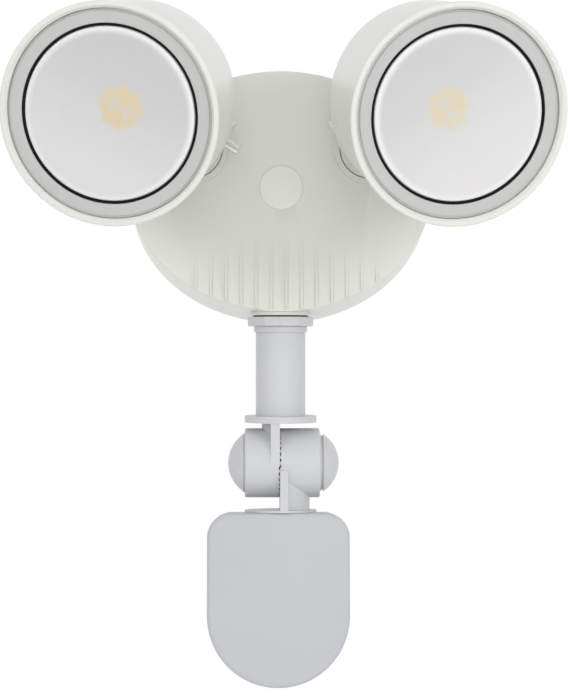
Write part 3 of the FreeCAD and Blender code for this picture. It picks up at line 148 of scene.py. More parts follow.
# ---------------------------------------------------------------- sizes and colours

def length(name, description, millimetres):
    """A length setting, given in millimetres and kept in metres."""
    return bpy.props.FloatProperty(
        name=name, description=description, default=millimetres * MM, unit="LENGTH", precision=5
    )


def colour(name, description, value):
    """A setting for a linear colour."""
    return bpy.props.FloatVectorProperty(
        name=name, description=description, default=value, subtype="COLOR", size=3, min=0, max=1
    )


class LampHeadSizes(bpy.types.PropertyGroup):
    """Radii and places along the lamp head's axis, forwards from its tilt axis."""

    lamp_tilt: bpy.props.FloatProperty(
        name="Lamp tilt", description="Tilt of the head outwards and down at rest",
        default=math.radians(19.0), subtype="ANGLE",
    )
    back_plane: length("Back plane", "Back of the barrel", 12.0)
    back_corner: length("Back corner", "Rounding of the barrel's back edge", 8.0)
    back_radius: length("Back radius", "Radius of the barrel at its back", 46.2)
    body_front: length("Body front", "Where the barrel meets the rim", 72.6)
    body_front_radius: length("Body front radius", "Radius of the barrel behind the rim", 48.4)
    rim_radius: length("Rim radius", "Outer radius of the front rim", 49.65)
    rim_front: length("Rim front", "Front of the rim", 76.6)
    rim_round: length("Rim round", "Rounding of the rim's outer edge", 0.8)
    rim_chamfer: length("Rim chamfer", "Chamfer of the rim's inner edge", 1.2)
    bezel_seat_radius: length("Bezel seat radius", "Radius of the seat for the bezel", 46.4)
    bezel_base: length("Bezel base", "Back of the bezel ring", 71.0)
    bezel_front: length("Bezel front", "Front of the bezel ring", 74.8)
    bezel_outer_radius: length("Bezel outer radius", "Outer radius of the bezel ring", 46.2)
    bezel_inner_radius: length("Bezel inner radius", "Inner radius of the bezel ring", 39.85)
    gasket_radius: length("Gasket radius", "Middle radius of the black lens gasket", 39.3)
    gasket_front: length("Gasket front", "Front of the lens gasket", 74.3)
    gasket_width: length("Gasket width", "Width of the lens gasket", 1.15)
    lens_radius: length("Lens radius", "Radius of the lens's raised dome", 38.7)
    lens_edge: length("Lens edge", "Where the dome's edge starts to curve", 73.6)
    lens_crown: length("Lens crown", "Front of the dome at its middle", 76.9)
    lens_base: length("Lens base", "Back of the lens's flange", 69.0)
    lens_thickness: length("Lens thickness", "Thickness of the lens", 2.0)
    glow_up: length("Glow up", "How far up the lens the diodes' glow lies from its middle", 6.1)
    glow_inboard: length("Glow inboard", "How far inboard the glow lies from the middle", 3.2)


class SensorCoverSizes(bpy.types.PropertyGroup):
    """Sizes of the sensor's front cover, measured from the sensor's tilt axis."""

    lean: bpy.props.FloatProperty(
        name="Lean", description="How far the sensor leans back at rest",
        default=math.radians(-3.4), subtype="ANGLE",
    )
    half_width: length("Half width", "Half the cover's width", 35.6)
    top: length("Top", "Top edge, below the axis", 25.0)
    bottom: length("Bottom", "Bottom edge, below the axis", 111.3)
    corner: length("Corner", "Radius of the upper corners", 11.9)
    front: length("Front", "Front of the face, before the axis", 19.0)
    joint_line: length("Joint line", "Back edge of the cover, before the axis", 9.5)
    edge_depth: length("Edge depth", "Depth of the rounded edge and the crown", 2.35)
    shift: length("Shift", "How far the cover's middle lies to the left", 1.35)


class FinishColours(bpy.types.PropertyGroup):
    """Linear colours of the finishes."""

    canopy_paint: colour("Canopy paint", "Warm light grey on the canopy", (0.70, 0.712, 0.652))
    head_paint: colour("Head paint", "Light grey on the lamp heads", (0.68, 0.69, 0.646))
    bezel_paint: colour("Bezel paint", "Grey on the bezel rings", (0.475, 0.475, 0.463))
    plug_plastic: colour("Plug plastic", "Warm light grey of the plug", (0.775, 0.78, 0.737))
    stem_plastic: colour("Stem plastic", "Light grey plastic of the stem", (0.565, 0.57, 0.58))
    sensor_plastic: colour("Sensor plastic", "Cool light grey of the sensor", (0.485, 0.508, 0.527))
    lens_white: colour("Lens white", "Frosted lens", (0.635, 0.635, 0.635))
    phosphor: colour("Phosphor", "Warm colour of the diodes", (0.78, 0.57, 0.29))
    glow_tint: colour("Glow tint", "How the diodes tint the lens before them", (1.0, 0.845, 0.58))


class StageSettings(bpy.types.PropertyGroup):
    """Camera, floor and lights."""

    camera_x: length("Camera X", "Camera's place to the right", -12.3)
    camera_y: length("Camera Y", "Camera's place in front of the wall", -850.0)
    camera_z: length("Camera Z", "Camera's height", -78.75)
    camera_yaw: bpy.props.FloatProperty(
        name="Camera yaw", description="Turn of the camera to the right",
        default=math.radians(1.0), subtype="ANGLE",
    )
    focal_length: bpy.props.FloatProperty(
        name="Focal length", description="Lens of the camera in millimetres", default=83.8
    )
    floor_height: length("Floor height", "Height of the floor below the lamp", -440.0)
    floor_radius: length("Floor radius", "Radius of the round floor", 760.0)
    sky_light: bpy.props.FloatProperty(
        name="Sky light", description="Strength of the light from all round", default=0.60
    )
    back_light: bpy.props.FloatProperty(
        name="Back light", description="Light that the sky adds towards the back", default=0.4
    )
    front_power: bpy.props.FloatProperty(
        name="Front power", description="Power of the large lamp at the front, in watts",
        default=2.0,
    )
    top_power: bpy.props.FloatProperty(
        name="Top power", description="Power of the large lamp overhead, in watts", default=0.8
    )
    left_power: bpy.props.FloatProperty(
        name="Left power", description="Power of the lamp at the front left, in watts", default=1.9
    )
    right_power: bpy.props.FloatProperty(
        name="Right power", description="Power of the lamp at the front right, in watts",
        default=2.7,
    )


PROPERTY_GROUPS = (
    ("lamp_head_sizes", LampHeadSizes),
    ("sensor_cover_sizes", SensorCoverSizes),
    ("finish_colours", FinishColours),
    ("stage_settings", StageSettings),
)


# ---------------------------------------------------------------- places on the lamp

def head_matrix(side):
    """Origin on the tilt axis, X along it, Z along the lamp head's axis to its lens."""
    along = Vector(JOINTS[side + "_tilt"]["axis"]).normalized()
    across = Vector((-along.z, 0, along.x))
    if across.z < 0:
        across.negate()
    tilt = bpy.context.scene.lamp_head_sizes.lamp_tilt
    front = Vector((0, -math.cos(tilt), 0)) - across * math.sin(tilt)
    return axes_matrix(along, front.cross(along), front, JOINTS[side + "_tilt"]["pos_m"])


def axes_matrix(x_axis, y_axis, z_axis, origin):
    """Matrix that puts a frame with these axes at the origin given."""
    turn = Matrix((x_axis, y_axis, z_axis)).transposed().to_4x4()
    return Matrix.Translation(Vector(origin)) @ turn


# ---------------------------------------------------------------- mesh tools

def spin_outline(bm, outline, place, steps=128):
    """Turns a closed outline of (radius, height) points round Z, then puts it in place."""
    verts = [bm.verts.new((radius, 0, height)) for radius, height in outline]
    edges = [bm.edges.new((verts[i], verts[(i + 1) % len(verts)])) for i in range(len(verts))]
    bmesh.ops.spin(
        bm, geom=verts + edges, cent=(0, 0, 0), axis=(0, 0, 1), dvec=(0, 0, 0),
        angle=2 * math.pi, steps=steps, use_merge=True, use_duplicate=False,
    )
    bmesh.ops.remove_doubles(bm, verts=bm.verts, dist=SPIN_JOIN)
    bmesh.ops.dissolve_degenerate(bm, dist=SLIVER, edges=bm.edges)
    bmesh.ops.recalc_face_normals(bm, faces=bm.faces)
    bmesh.ops.transform(bm, matrix=place, verts=bm.verts)


def arc(centre, radius, start, end, count):
    """Points on an arc in the outline's plane, angles in degrees."""
    points = []
    for step in range(count + 1):
        angle = math.radians(start + (end - start) * step / count)
        points.append(
            (centre[0] + radius * math.cos(angle), centre[1] + radius * math.sin(angle))
        )
    return points


def dome(edge_radius, edge_height, crown_height, count):
    """Points of a shallow spherical cap from its edge to its crown."""
    sag = crown_height - edge_height
    radius = (edge_radius ** 2 + sag ** 2) / (2 * sag)
    centre = crown_height - radius
    points = []
    for step in range(count + 1):
        across = edge_radius * (1 - step / count)
        points.append((across, centre + math.sqrt(radius ** 2 - across ** 2)))
    return points


def add_piece(bm, name, body, material, nodes, smooth_angle=SMOOTH_ANGLE):
    """Makes the mesh an object that rides on a body and stands for the named CAD nodes."""
    mesh = bpy.data.meshes.new(name)
    bm.to_mesh(mesh)
    bm.free()
    mesh.shade_smooth()
    mesh.set_sharp_from_angle(angle=math.radians(smooth_angle))
    piece = bpy.data.objects.new(name, mesh)
    bpy.context.scene.collection.objects.link(piece)
    mesh.materials.append(material)
    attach(piece, body)
    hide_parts(*nodes)
    return piece


def merged_copy(node):
    """A CAD node's mesh with its loose triangles joined and its flat faces made whole."""
    bm = bmesh.new()
    bm.from_mesh(frame["nodes"][node].data)
    bmesh.ops.remove_doubles(bm, verts=bm.verts, dist=CAD_JOIN)
    bmesh.ops.dissolve_limit(bm, angle_limit=CAD_FLAT, verts=bm.verts, edges=bm.edges)
    return bm


def soften_edges(piece, edge, smooth_angle=SMOOTH_ANGLE):
    """Rounds the sharp edges by this many millimetres."""
    soften = piece.modifiers.new("Soft edges", "BEVEL")
    soften.width = edge * MM
    soften.segments = 2
    soften.limit_method = "ANGLE"
    soften.angle_limit = math.radians(smooth_angle)
    soften.harden_normals = True


def dress_node(node, material, edge, smooth_angle=SMOOTH_ANGLE):
    """A merged copy of a CAD node with its edges softened, standing for that node."""
    piece = add_piece(
        merged_copy(node), node + "_dressed", frame["nodes"][node]["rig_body"],
        material, (node,), smooth_angle,
    )
    soften_edges(piece, edge, smooth_angle)


# ---------------------------------------------------------------- materials

class Finish:
    """Builds one node material step by step."""

    def __init__(self, name):
        self.material = bpy.data.materials.new(name)
        self.material.use_nodes = True
        self.tree = self.material.node_tree
        self.shader = self.tree.nodes["Principled BSDF"]
        self.place = self.tree.nodes.new("ShaderNodeTexCoord").outputs["Object"]

    def node(self, kind, **values):
        made = self.tree.nodes.new(kind)
        for name, value in values.items():
            setattr(made, name, value)
        return made

    def link(self, source, target):
        self.tree.links.new(source, target)

    def noise(self, scale, detail=2.0, roughness=0.5):
        texture = self.node("ShaderNodeTexNoise")
        texture.inputs["Scale"].default_value = scale
        texture.inputs["Detail"].default_value = detail
        texture.inputs["Roughness"].default_value = roughness
        self.link(self.place, texture.inputs["Vector"])
        return texture.outputs["Fac"]

    def remap(self, value, low, high, to_low, to_high, smooth=False):
        ranged = self.node("ShaderNodeMapRange")
        if smooth:
            ranged.interpolation_type = "SMOOTHSTEP"
        for name, number in (
            ("From Min", low), ("From Max", high), ("To Min", to_low), ("To Max", to_high)
        ):
            ranged.inputs[name].default_value = number
        self.link(value, ranged.inputs["Value"])
        return ranged.outputs["Result"]

    def mix_colours(self, factor, first, second):
        mixed = self.node("ShaderNodeMix", data_type="RGBA")
        self.link(factor, mixed.inputs["Factor"])
        for socket, value in ((mixed.inputs[6], first), (mixed.inputs[7], second)):
            if isinstance(value, bpy.types.NodeSocket):
                self.link(value, socket)
            else:
                socket.default_value = (*value, 1.0)
        return mixed.outputs[2]

    def spread(self, noise, low, high):
        """The noise's used span, laid over the span given."""
        return self.remap(noise, NOISE_LOW, NOISE_HIGH, low, high)

    def distance(self, point):
        """Distance of the shaded place from a point."""
        away = self.node("ShaderNodeVectorMath", operation="DISTANCE")
        away.inputs[1].default_value = point
        self.link(self.place, away.inputs[0])
        return away.outputs["Value"]

    def bump(self, height, distance):
        """Grain of this depth, in metres."""
        raised = self.node("ShaderNodeBump")
        raised.inputs["Strength"].default_value = 1.0
        raised.inputs["Distance"].default_value = distance
        self.link(height, raised.inputs["Height"])
        self.link(raised.outputs["Normal"], self.shader.inputs["Normal"])

    def set(self, **values):
        """Constants on the shader's own sockets."""
        for name, value in values.items():
            self.shader.inputs[name.replace("_", " ")].default_value = value


def shade(value, factor):
    """The colour made lighter or darker."""
    return tuple(min(1.0, part * factor) for part in value)


def mottled(finish, base, spread, patch_scale):
    """Base colour with faint, broad variation."""
    patches = finish.spread(finish.noise(patch_scale, 3.0), 0.0, 1.0)
    mixed = finish.mix_colours(patches, shade(base, 1 - spread), shade(base, 1 + spread))
    finish.link(mixed, finish.shader.inputs["Base Color"])


def painted_metal(name, base, roughness=0.42, grain=0.000012):
    """Powder coat: fine orange peel over a smooth casting."""
    finish = Finish(name)
    mottled(finish, base, 0.012, 18.0)
    peel = finish.noise(1500.0, 2.0, 0.6)
    rough = finish.spread(peel, roughness - 0.04, roughness + 0.05)
    finish.link(rough, finish.shader.inputs["Roughness"])
    finish.bump(peel, grain)
    finish.set(Specular_IOR_Level=0.45, Coat_Weight=0.5, Coat_Roughness=0.3)
    return finish.material


def moulded_plastic(name, base, roughness=0.38, grain=0.000006):
    """Injection moulded plastic with a faint spark-eroded grain."""
    finish = Finish(name)
    mottled(finish, base, 0.010, 25.0)
    spark = finish.noise(2600.0, 1.0, 0.5)
    rough = finish.spread(spark, roughness - 0.03, roughness + 0.05)
    finish.link(rough, finish.shader.inputs["Roughness"])
    finish.bump(spark, grain)
    finish.set(Specular_IOR_Level=0.5)
    return finish.material


def black_rubber(name):
    """Matt rubber with a little dust."""
    finish = Finish(name)
    mottled(finish, (0.004, 0.004, 0.0045), 0.25, 120.0)
    dust = finish.noise(1800.0, 2.0)
    finish.link(finish.spread(dust, 0.6, 0.8), finish.shader.inputs["Roughness"])
    finish.bump(dust, 0.00001)
    finish.set(Specular_IOR_Level=0.15)
    return finish.material


def plated_steel(name, base, roughness=0.3):
    """Zinc plated steel with fine streaks along one way."""
    finish = Finish(name)
    mottled(finish, base, 0.05, 160.0)
    stretch = finish.node("ShaderNodeMapping")
    stretch.inputs["Scale"].default_value = (1.0, 1.0, 9.0)
    finish.link(finish.place, stretch.inputs["Vector"])
    finish.place = stretch.outputs["Vector"]
    streaks = finish.noise(900.0, 3.0)
    rough = finish.spread(streaks, roughness - 0.08, roughness + 0.1)
    finish.link(rough, finish.shader.inputs["Roughness"])
    finish.bump(streaks, 0.000006)
    finish.set(Metallic=1.0)
    return finish.material


def circuit_board(name, base):
    """Solder mask with faint traces under it."""
    finish = Finish(name)
    traces = finish.node("ShaderNodeTexBrick")
    traces.inputs["Scale"].default_value = 220.0
    traces.inputs["Mortar Size"].default_value = 0.06
    traces.inputs["Color1"].default_value = (*base, 1)
    traces.inputs["Color2"].default_value = (*shade(base, 0.9), 1)
    traces.inputs["Mortar"].default_value = (*shade(base, 1.35), 1)
    finish.link(finish.place, traces.inputs["Vector"])
    finish.link(traces.outputs["Color"], finish.shader.inputs["Base Color"])
    finish.bump(finish.noise(1200.0), 0.00001)
    finish.set(Roughness=0.35)
    return finish.material


def diode_phosphor(name, base):
    """The diodes' yellow cover, which glows a little."""
    finish = Finish(name)
    mottled(finish, base, 0.08, 900.0)
    finish.bump(finish.noise(2000.0), 0.00001)
    finish.set(Roughness=0.4, Emission_Color=(*base, 1.0), Emission_Strength=0.4)
    return finish.material


def frosted_lens(name, base, tint, strength, spots, centre, up, radius):
    """Frosted plastic: soft warm spots from the diodes, a painted highlight round its edge, and
    painted shade towards its top.
    """
    finish = Finish(name)
    total = None
    for spot in spots:
        glow = finish.remap(finish.distance(spot), SPOT_CORE, SPOT_REACH, 1.0, 0.0, smooth=True)
        if total is None:
            total = glow
        else:
            joined = finish.node("ShaderNodeMath", operation="ADD", use_clamp=True)
            finish.link(total, joined.inputs[0])
            finish.link(glow, joined.inputs[1])
            total = joined.outputs["Value"]
    from_spots = finish.distance(sum(spots, Vector()) / len(spots))
    haze = finish.remap(from_spots, HAZE_CORE, HAZE_REACH, HAZE_STRENGTH, 0.0, smooth=True)
    warm = finish.node("ShaderNodeMath", operation="MULTIPLY_ADD", use_clamp=True)
    finish.link(total, warm.inputs[0])
    warm.inputs[1].default_value = strength
    finish.link(haze, warm.inputs[2])
    # Painted highlight: a lighter ring near the lens's edge.
    edge = finish.remap(
        finish.distance(centre), radius * PAINTED_HIGHLIGHT_START, radius * PAINTED_HIGHLIGHT_END, 0.0, 1.0, smooth=True
    )
    # Painted shade: the colour darker towards the lens's top and a little lighter at its bottom.
    across = finish.node("ShaderNodeVectorMath", operation="SUBTRACT")
    finish.link(finish.place, across.inputs[0])
    across.inputs[1].default_value = centre
    height = finish.node("ShaderNodeVectorMath", operation="DOT_PRODUCT")
    finish.link(across.outputs["Vector"], height.inputs[0])
    height.inputs[1].default_value = up / radius
    painted_shade_mask = finish.remap(height.outputs["Value"], -1.0, 1.0, 0.0, 1.0, smooth=True)
    painted_shade_colour = finish.mix_colours(painted_shade_mask, shade(base, PAINTED_SHADE_LOW), shade(base, PAINTED_SHADE_HIGH))
    frosted = finish.mix_colours(edge, painted_shade_colour, shade(base, PAINTED_HIGHLIGHT_SHADE))
    glowing = tuple(part * share for part, share in zip(base, tint))
    coloured = finish.mix_colours(warm.outputs["Value"], frosted, glowing)
    finish.link(coloured, finish.shader.inputs["Base Color"])
    frost = finish.noise(3200.0, 2.0)
    finish.link(finish.spread(frost, 0.40, 0.5), finish.shader.inputs["Roughness"])
    finish.bump(frost, 0.000004)
    finish.set(Subsurface_Weight=0.25, Subsurface_Scale=0.004, Specular_IOR_Level=0.4)
    return finish.material


def make_materials():
    """One material for each slot of the record, kept by slot name."""
    colours = bpy.context.scene.finish_colours
    return {
        "canopy_paint": painted_metal("Canopy paint", tuple(colours.canopy_paint)),
        "arm_paint": painted_metal("Arm paint", tuple(colours.head_paint)),
        "head_paint": painted_metal("Head paint", tuple(colours.head_paint), 0.36),
        "bezel_paint": painted_metal("Bezel paint", tuple(colours.bezel_paint), 0.4),
        "grey_plastic": moulded_plastic("Stem plastic", tuple(colours.stem_plastic)),
        "sensor_plastic": moulded_plastic("Sensor plastic", tuple(colours.sensor_plastic), 0.45),
        "milky_lens": moulded_plastic("Milky lens", (0.78, 0.80, 0.81), 0.3),
        "black_rubber": black_rubber("Black rubber"),
        "zinc_steel": plated_steel("Zinc plated steel", (0.62, 0.62, 0.60)),
        "green_screw": plated_steel("Green earth screw", (0.05, 0.30, 0.10), 0.35),
        "white_plastic": moulded_plastic("White plastic", (0.78, 0.78, 0.75)),
        "frosted_lens": moulded_plastic("Frosted plastic", tuple(colours.lens_white)),
        "white_reflector": moulded_plastic("White reflector", (0.85, 0.85, 0.84), 0.2),
        "bare_aluminium": plated_steel("Bare aluminium", (0.70, 0.71, 0.72), 0.38),
        "white_board": circuit_board("White board", (0.80, 0.80, 0.77)),
        "green_board": circuit_board("Green board", (0.02, 0.20, 0.06)),
        "detector_can": plated_steel("Detector can", (0.66, 0.62, 0.52), 0.25),
        "dial_plastic": moulded_plastic("Dial plastic", (0.06, 0.06, 0.065)),
        "led_glow": diode_phosphor("Diode phosphor", tuple(colours.phosphor)),
    }


MATERIALS = {}


# ---------------------------------------------------------------- pieces

class LIGHT_OT_finishes(bpy.types.Operator):
    """Makes every finish and gives the CAD nodes theirs"""

    bl_idname = "security_light.finishes"
    bl_label = "Make finishes"

    def execute(self, context):
        MATERIALS.update(make_materials())
        for node, thing in frame["nodes"].items():
            thing.data.materials.clear()
            thing.data.materials.append(MATERIALS[SLOTS[node]])
        return {"FINISHED"}


class LIGHT_OT_canopy(bpy.types.Operator):
    """Dresses the canopy, its plug and what is fixed to it"""

    bl_idname = "security_light.canopy"
    bl_label = "Dress canopy"

    def execute(self, context):
        dress_node("canopy_housing", MATERIALS["canopy_paint"], CANOPY_EDGE)
        self.make_plug(context.scene.finish_colours)
        for node in FIXED_NODES:
            dress_node(node, MATERIALS[SLOTS[node]], FIXED_EDGE)
        return {"FINISHED"}

    def make_plug(self, colours):
        """Domed plug with a soft edge, whose lip lies on the canopy's face."""
        low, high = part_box("centre_plug")
        skirt = (high.x - low.x) / 2
        lip = skirt + 0.35 * MM
        lip_round = 0.9 * MM
        lip_edge = 0.15 * MM
        wall = 2.4 * MM
        rise = high.y - low.y
        face = rise - 1.95 * MM
        outline = [(skirt - wall, 0), (skirt, 0), (skirt, face), (lip, face)]
        outline += arc((lip - lip_round, face + lip_edge), lip_round, 0, 62, 6)
        edge_radius, edge_height = outline[-1]
        outline += dome(edge_radius, edge_height, rise, 12)[1:]
        outline += [(0, rise - wall), (skirt - wall, face - wall)]
        bm = bmesh.new()
        out = axes_matrix(
            Vector((1, 0, 0)), Vector((0, 0, 1)), Vector((0, -1, 0)),
            ((low.x + high.x) / 2, high.y, (low.z + high.z) / 2),
        )
        spin_outline(bm, outline, out, 96)
        material = moulded_plastic("Plug plastic", tuple(colours.plug_plastic), 0.4)
        add_piece(bm, "plug", "canopy", material, ("centre_plug",))


class LIGHT_OT_arms(bpy.types.Operator):
    """Dresses the knuckle arms and their fasteners"""

    bl_idname = "security_light.arms"
    bl_label = "Dress arms"

    def execute(self, context):
        for side in SIDES:
            for name in ARM_NODES:
                node = side + "_" + name
                dress_node(node, MATERIALS[SLOTS[node]], ARM_EDGE)
        return {"FINISHED"}


class LIGHT_OT_lamp_heads(bpy.types.Operator):
    """Makes the lamp heads' bezel rings, gaskets and frosted lenses, and dresses the housings"""

    bl_idname = "security_light.lamp_heads"
    bl_label = "Make lamp heads"

    def execute(self, context):
        sizes = context.scene.lamp_head_sizes
        for side in SIDES:
            place = head_matrix(side)
            self.make_housing(side, place, sizes)
            self.make_bezel(side, place, sizes)
            self.make_gasket(side, place, sizes)
            self.make_lens(side, place, sizes, context.scene.finish_colours)
        return {"FINISHED"}

    def make_housing(self, side, place, sizes):
        """Turned barrel with a flared rim, and the pivot lug of the CAD housing behind it."""
        back = sizes.back_plane
        corner = sizes.back_corner
        rim = sizes.rim_radius - sizes.rim_round
        seat = sizes.bezel_seat_radius
        flare = 1 * MM
        lens_ledge = 1.2 * MM
        front_wall = 3.2 * MM
        back_wall = 8.2 * MM
        back_thickness = 3 * MM
        outline = [(0, back)]
        outline += arc((sizes.back_radius - corner, back + corner), corner, -90, 0, 16)
        outline += [(sizes.body_front_radius, sizes.body_front),
                    (sizes.rim_radius, sizes.body_front + flare)]
        outline += arc((rim, sizes.rim_front - sizes.rim_round), sizes.rim_round, 0, 90, 5)
        outline += [(seat + sizes.rim_chamfer, sizes.rim_front),
                    (seat, sizes.rim_front - sizes.rim_chamfer), (seat, sizes.lens_base),
                    (seat - lens_ledge, sizes.lens_base), (seat - front_wall, back + corner),
                    (seat - back_wall, back + back_thickness), (0, back + back_thickness)]
        shell = bmesh.new()
        spin_outline(shell, outline, place, 192)
        turned = bpy.data.meshes.new("shell")
        shell.to_mesh(turned)
        shell.free()
        bm = merged_copy(side + "_lamp_housing")
        inverse = place.inverted()
        lug_end = back - 0.01 * MM
        barrel = [f for f in bm.faces if (inverse @ f.calc_center_median()).z > lug_end]
        bmesh.ops.delete(bm, context="FACES", geom=barrel)
        bm.from_mesh(turned)
        bpy.data.meshes.remove(turned)
        piece = add_piece(bm, side + "_housing", side + "_head",
                          MATERIALS["head_paint"], (side + "_lamp_housing",))
        soften_edges(piece, HOUSING_EDGE)

    def make_bezel(self, side, place, sizes):
        """Flat ring with a raised lip inside and a shallow groove near its outer edge."""
        inner = sizes.bezel_inner_radius
        outer = sizes.bezel_outer_radius
        front = sizes.bezel_front
        round_size = 0.5 * MM
        groove = 0.7 * MM
        chamfer = 0.2 * MM
        groove_width = 0.9 * MM
        step_out, step_in, step_down = 1.1 * MM, 1.4 * MM, 0.1 * MM
        outline = [(inner, sizes.bezel_base), (outer, sizes.bezel_base)]
        outline += [(outer, front - groove - chamfer), (outer - chamfer, front - groove)]
        outline += [(outer - groove_width, front - groove), (outer - step_out, front - step_down)]
        outline += [(outer - step_in, front)]
        outline += arc((inner + round_size, front - 2 * round_size), round_size, 90, 180, 5)
        bm = bmesh.new()
        spin_outline(bm, outline, place)
        add_piece(bm, side + "_bezel", side + "_head", MATERIALS["bezel_paint"],
                  (side + "_bezel_ring",))

    def make_gasket(self, side, place, sizes):
        """Black ring with a rounded top between the bezel and the lens."""
        half = sizes.gasket_width / 2
        outline = [(sizes.gasket_radius - half, sizes.bezel_base),
                   (sizes.gasket_radius + half, sizes.bezel_base)]
        outline += arc((sizes.gasket_radius, sizes.gasket_front - half), half, 0, 180, 8)
        bm = bmesh.new()
        spin_outline(bm, outline, place)
        add_piece(bm, side + "_gasket", side + "_head", MATERIALS["black_rubber"],
                  (side + "_lens_gasket",))

    def make_lens(self, side, place, sizes, colours):
        """Shallow dome with a rounded shoulder, on a flange that the bezel holds."""
        radius = sizes.lens_radius
        shoulder = 1.6 * MM
        wall = sizes.lens_thickness
        edge = sizes.lens_edge - shoulder / 2
        flange = sizes.lens_base + wall - 0.1 * MM
        outer = [(sizes.bezel_outer_radius, sizes.lens_base),
                 (sizes.bezel_outer_radius, flange), (radius, flange), (radius, edge)]
        outer += arc((radius - shoulder, edge), shoulder, 0, 70, 6)[1:]
        cap_radius, cap_edge = outer[-1]
        outer += dome(cap_radius, cap_edge, sizes.lens_crown, 14)[1:]
        inner = dome(radius - wall, sizes.lens_edge - wall, sizes.lens_crown - wall, 10)
        inner.reverse()
        outline = outer + inner + [(radius - wall, sizes.lens_base)]
        bm = bmesh.new()
        spin_outline(bm, outline, place)
        middle = place @ Vector((0, 0, sizes.lens_crown))
        up = place.to_3x3().col[1] * math.copysign(1, place.col[1].z)
        # Painted light: each lens's colour is scaled by side, the right one lighter.
        material = frosted_lens(
            "Frosted lens " + side, shade(colours.lens_white, LENS_PAINTED_LIGHT[side]),
            tuple(colours.glow_tint), GLOW_STRENGTH[side], self.spots(side, place, sizes),
            middle, up, radius,
        )
        add_piece(bm, side + "_frosted_lens", side + "_head", material,
                  (side + "_lens",))

    def spots(self, side, place, sizes):
        """Where each diode's glow lies on the lens, a little up and inboard of the diode."""
        bm = bmesh.new()
        bm.from_mesh(frame["nodes"][side + "_leds"].data)
        bmesh.ops.remove_doubles(bm, verts=bm.verts, dist=CAD_JOIN)
        inverse = place.inverted()
        up = math.copysign(sizes.glow_up, place.col[1].z)
        inboard = -math.copysign(sizes.glow_inboard, place.col[0].x * place.translation.x)
        found = []
        seen = set()
        for start in bm.verts:
            if start in seen:
                continue
            group = [start]
            seen.add(start)
            for vert in group:
                for edge in vert.link_edges:
                    other = edge.other_vert(vert)
                    if other not in seen:
                        seen.add(other)
                        group.append(other)
            centre = inverse @ (sum((v.co for v in group), Vector()) / len(group))
            found.append(place @ Vector(
                (centre.x + inboard, centre.y + up, sizes.lens_crown)
            ))
        bm.free()
        return found


class LIGHT_OT_sensor(bpy.types.Operator):
    """Dresses the stem, its knuckle and the sensor"""

    bl_idname = "security_light.sensor"
    bl_label = "Dress sensor"

    def execute(self, context):
        dress_node("stem_locknut", MATERIALS["grey_plastic"], LOCKNUT_EDGE, LOCKNUT_SMOOTH_ANGLE)
        for node, edge in SENSOR_EDGES:
            dress_node(node, MATERIALS[SLOTS[node]], edge)
        self.make_cover(context.scene.sensor_cover_sizes)
        return {"FINISHED"}

    def make_cover(self, sizes):
        """Front shell: a rounded plate grown inwards in rings, so that its face is crowned."""
        joint = JOINTS["sensor_tilt"]
        lean = Matrix.Rotation(sizes.lean, 4, "X")
        place = Matrix.Translation(Vector(joint["pos_m"])) @ lean
        half = sizes.half_width
        corner = sizes.corner
        outline = arc((half - corner, -sizes.top - corner), corner, 90, 0, 14)
        outline += arc((0, -sizes.bottom + half), half, 0, -180, 64)
        outline += arc((-half + corner, -sizes.top - corner), corner, 180, 90, 14)
        bm = bmesh.new()
        back = -sizes.joint_line
        wall_depth = sizes.front - sizes.joint_line - sizes.edge_depth
        rim = [bm.verts.new((x - sizes.shift, back, z)) for x, z in outline]
        face = bm.faces.new(rim)
        grown = bmesh.ops.extrude_face_region(bm, geom=[face])["geom"]
        bmesh.ops.translate(
            bm, vec=(0, -wall_depth, 0),
            verts=[item for item in grown if isinstance(item, bmesh.types.BMVert)],
        )
        front = [item for item in grown if isinstance(item, bmesh.types.BMFace)]
        bmesh.ops.recalc_face_normals(bm, faces=bm.faces)
        for width, rise in COVER_RINGS:
            bmesh.ops.inset_region(
                bm, faces=front, thickness=width * MM, depth=rise * MM, use_even_offset=True
            )
        bmesh.ops.recalc_face_normals(bm, faces=bm.faces)
        bmesh.ops.transform(bm, matrix=place, verts=bm.verts)
        add_piece(bm, "sensor_cover", "sensor_head",
                  MATERIALS["sensor_plastic"], ("sensor_top_cover",), COVER_SMOOTH_ANGLE)


def seen_rays(tree):
    """1 for the rays that show a surface to the eye, in a mirror or through glass."""
    paths = tree.nodes.new("ShaderNodeLightPath")
    total = paths.outputs["Is Camera Ray"]
    for kind in ("Is Glossy Ray", "Is Transmission Ray"):
        either = tree.nodes.new("ShaderNodeMath")
        either.operation = "MAXIMUM"
        tree.links.new(total, either.inputs[0])
        tree.links.new(paths.outputs[kind], either.inputs[1])
        total = either.outputs["Value"]
    return total


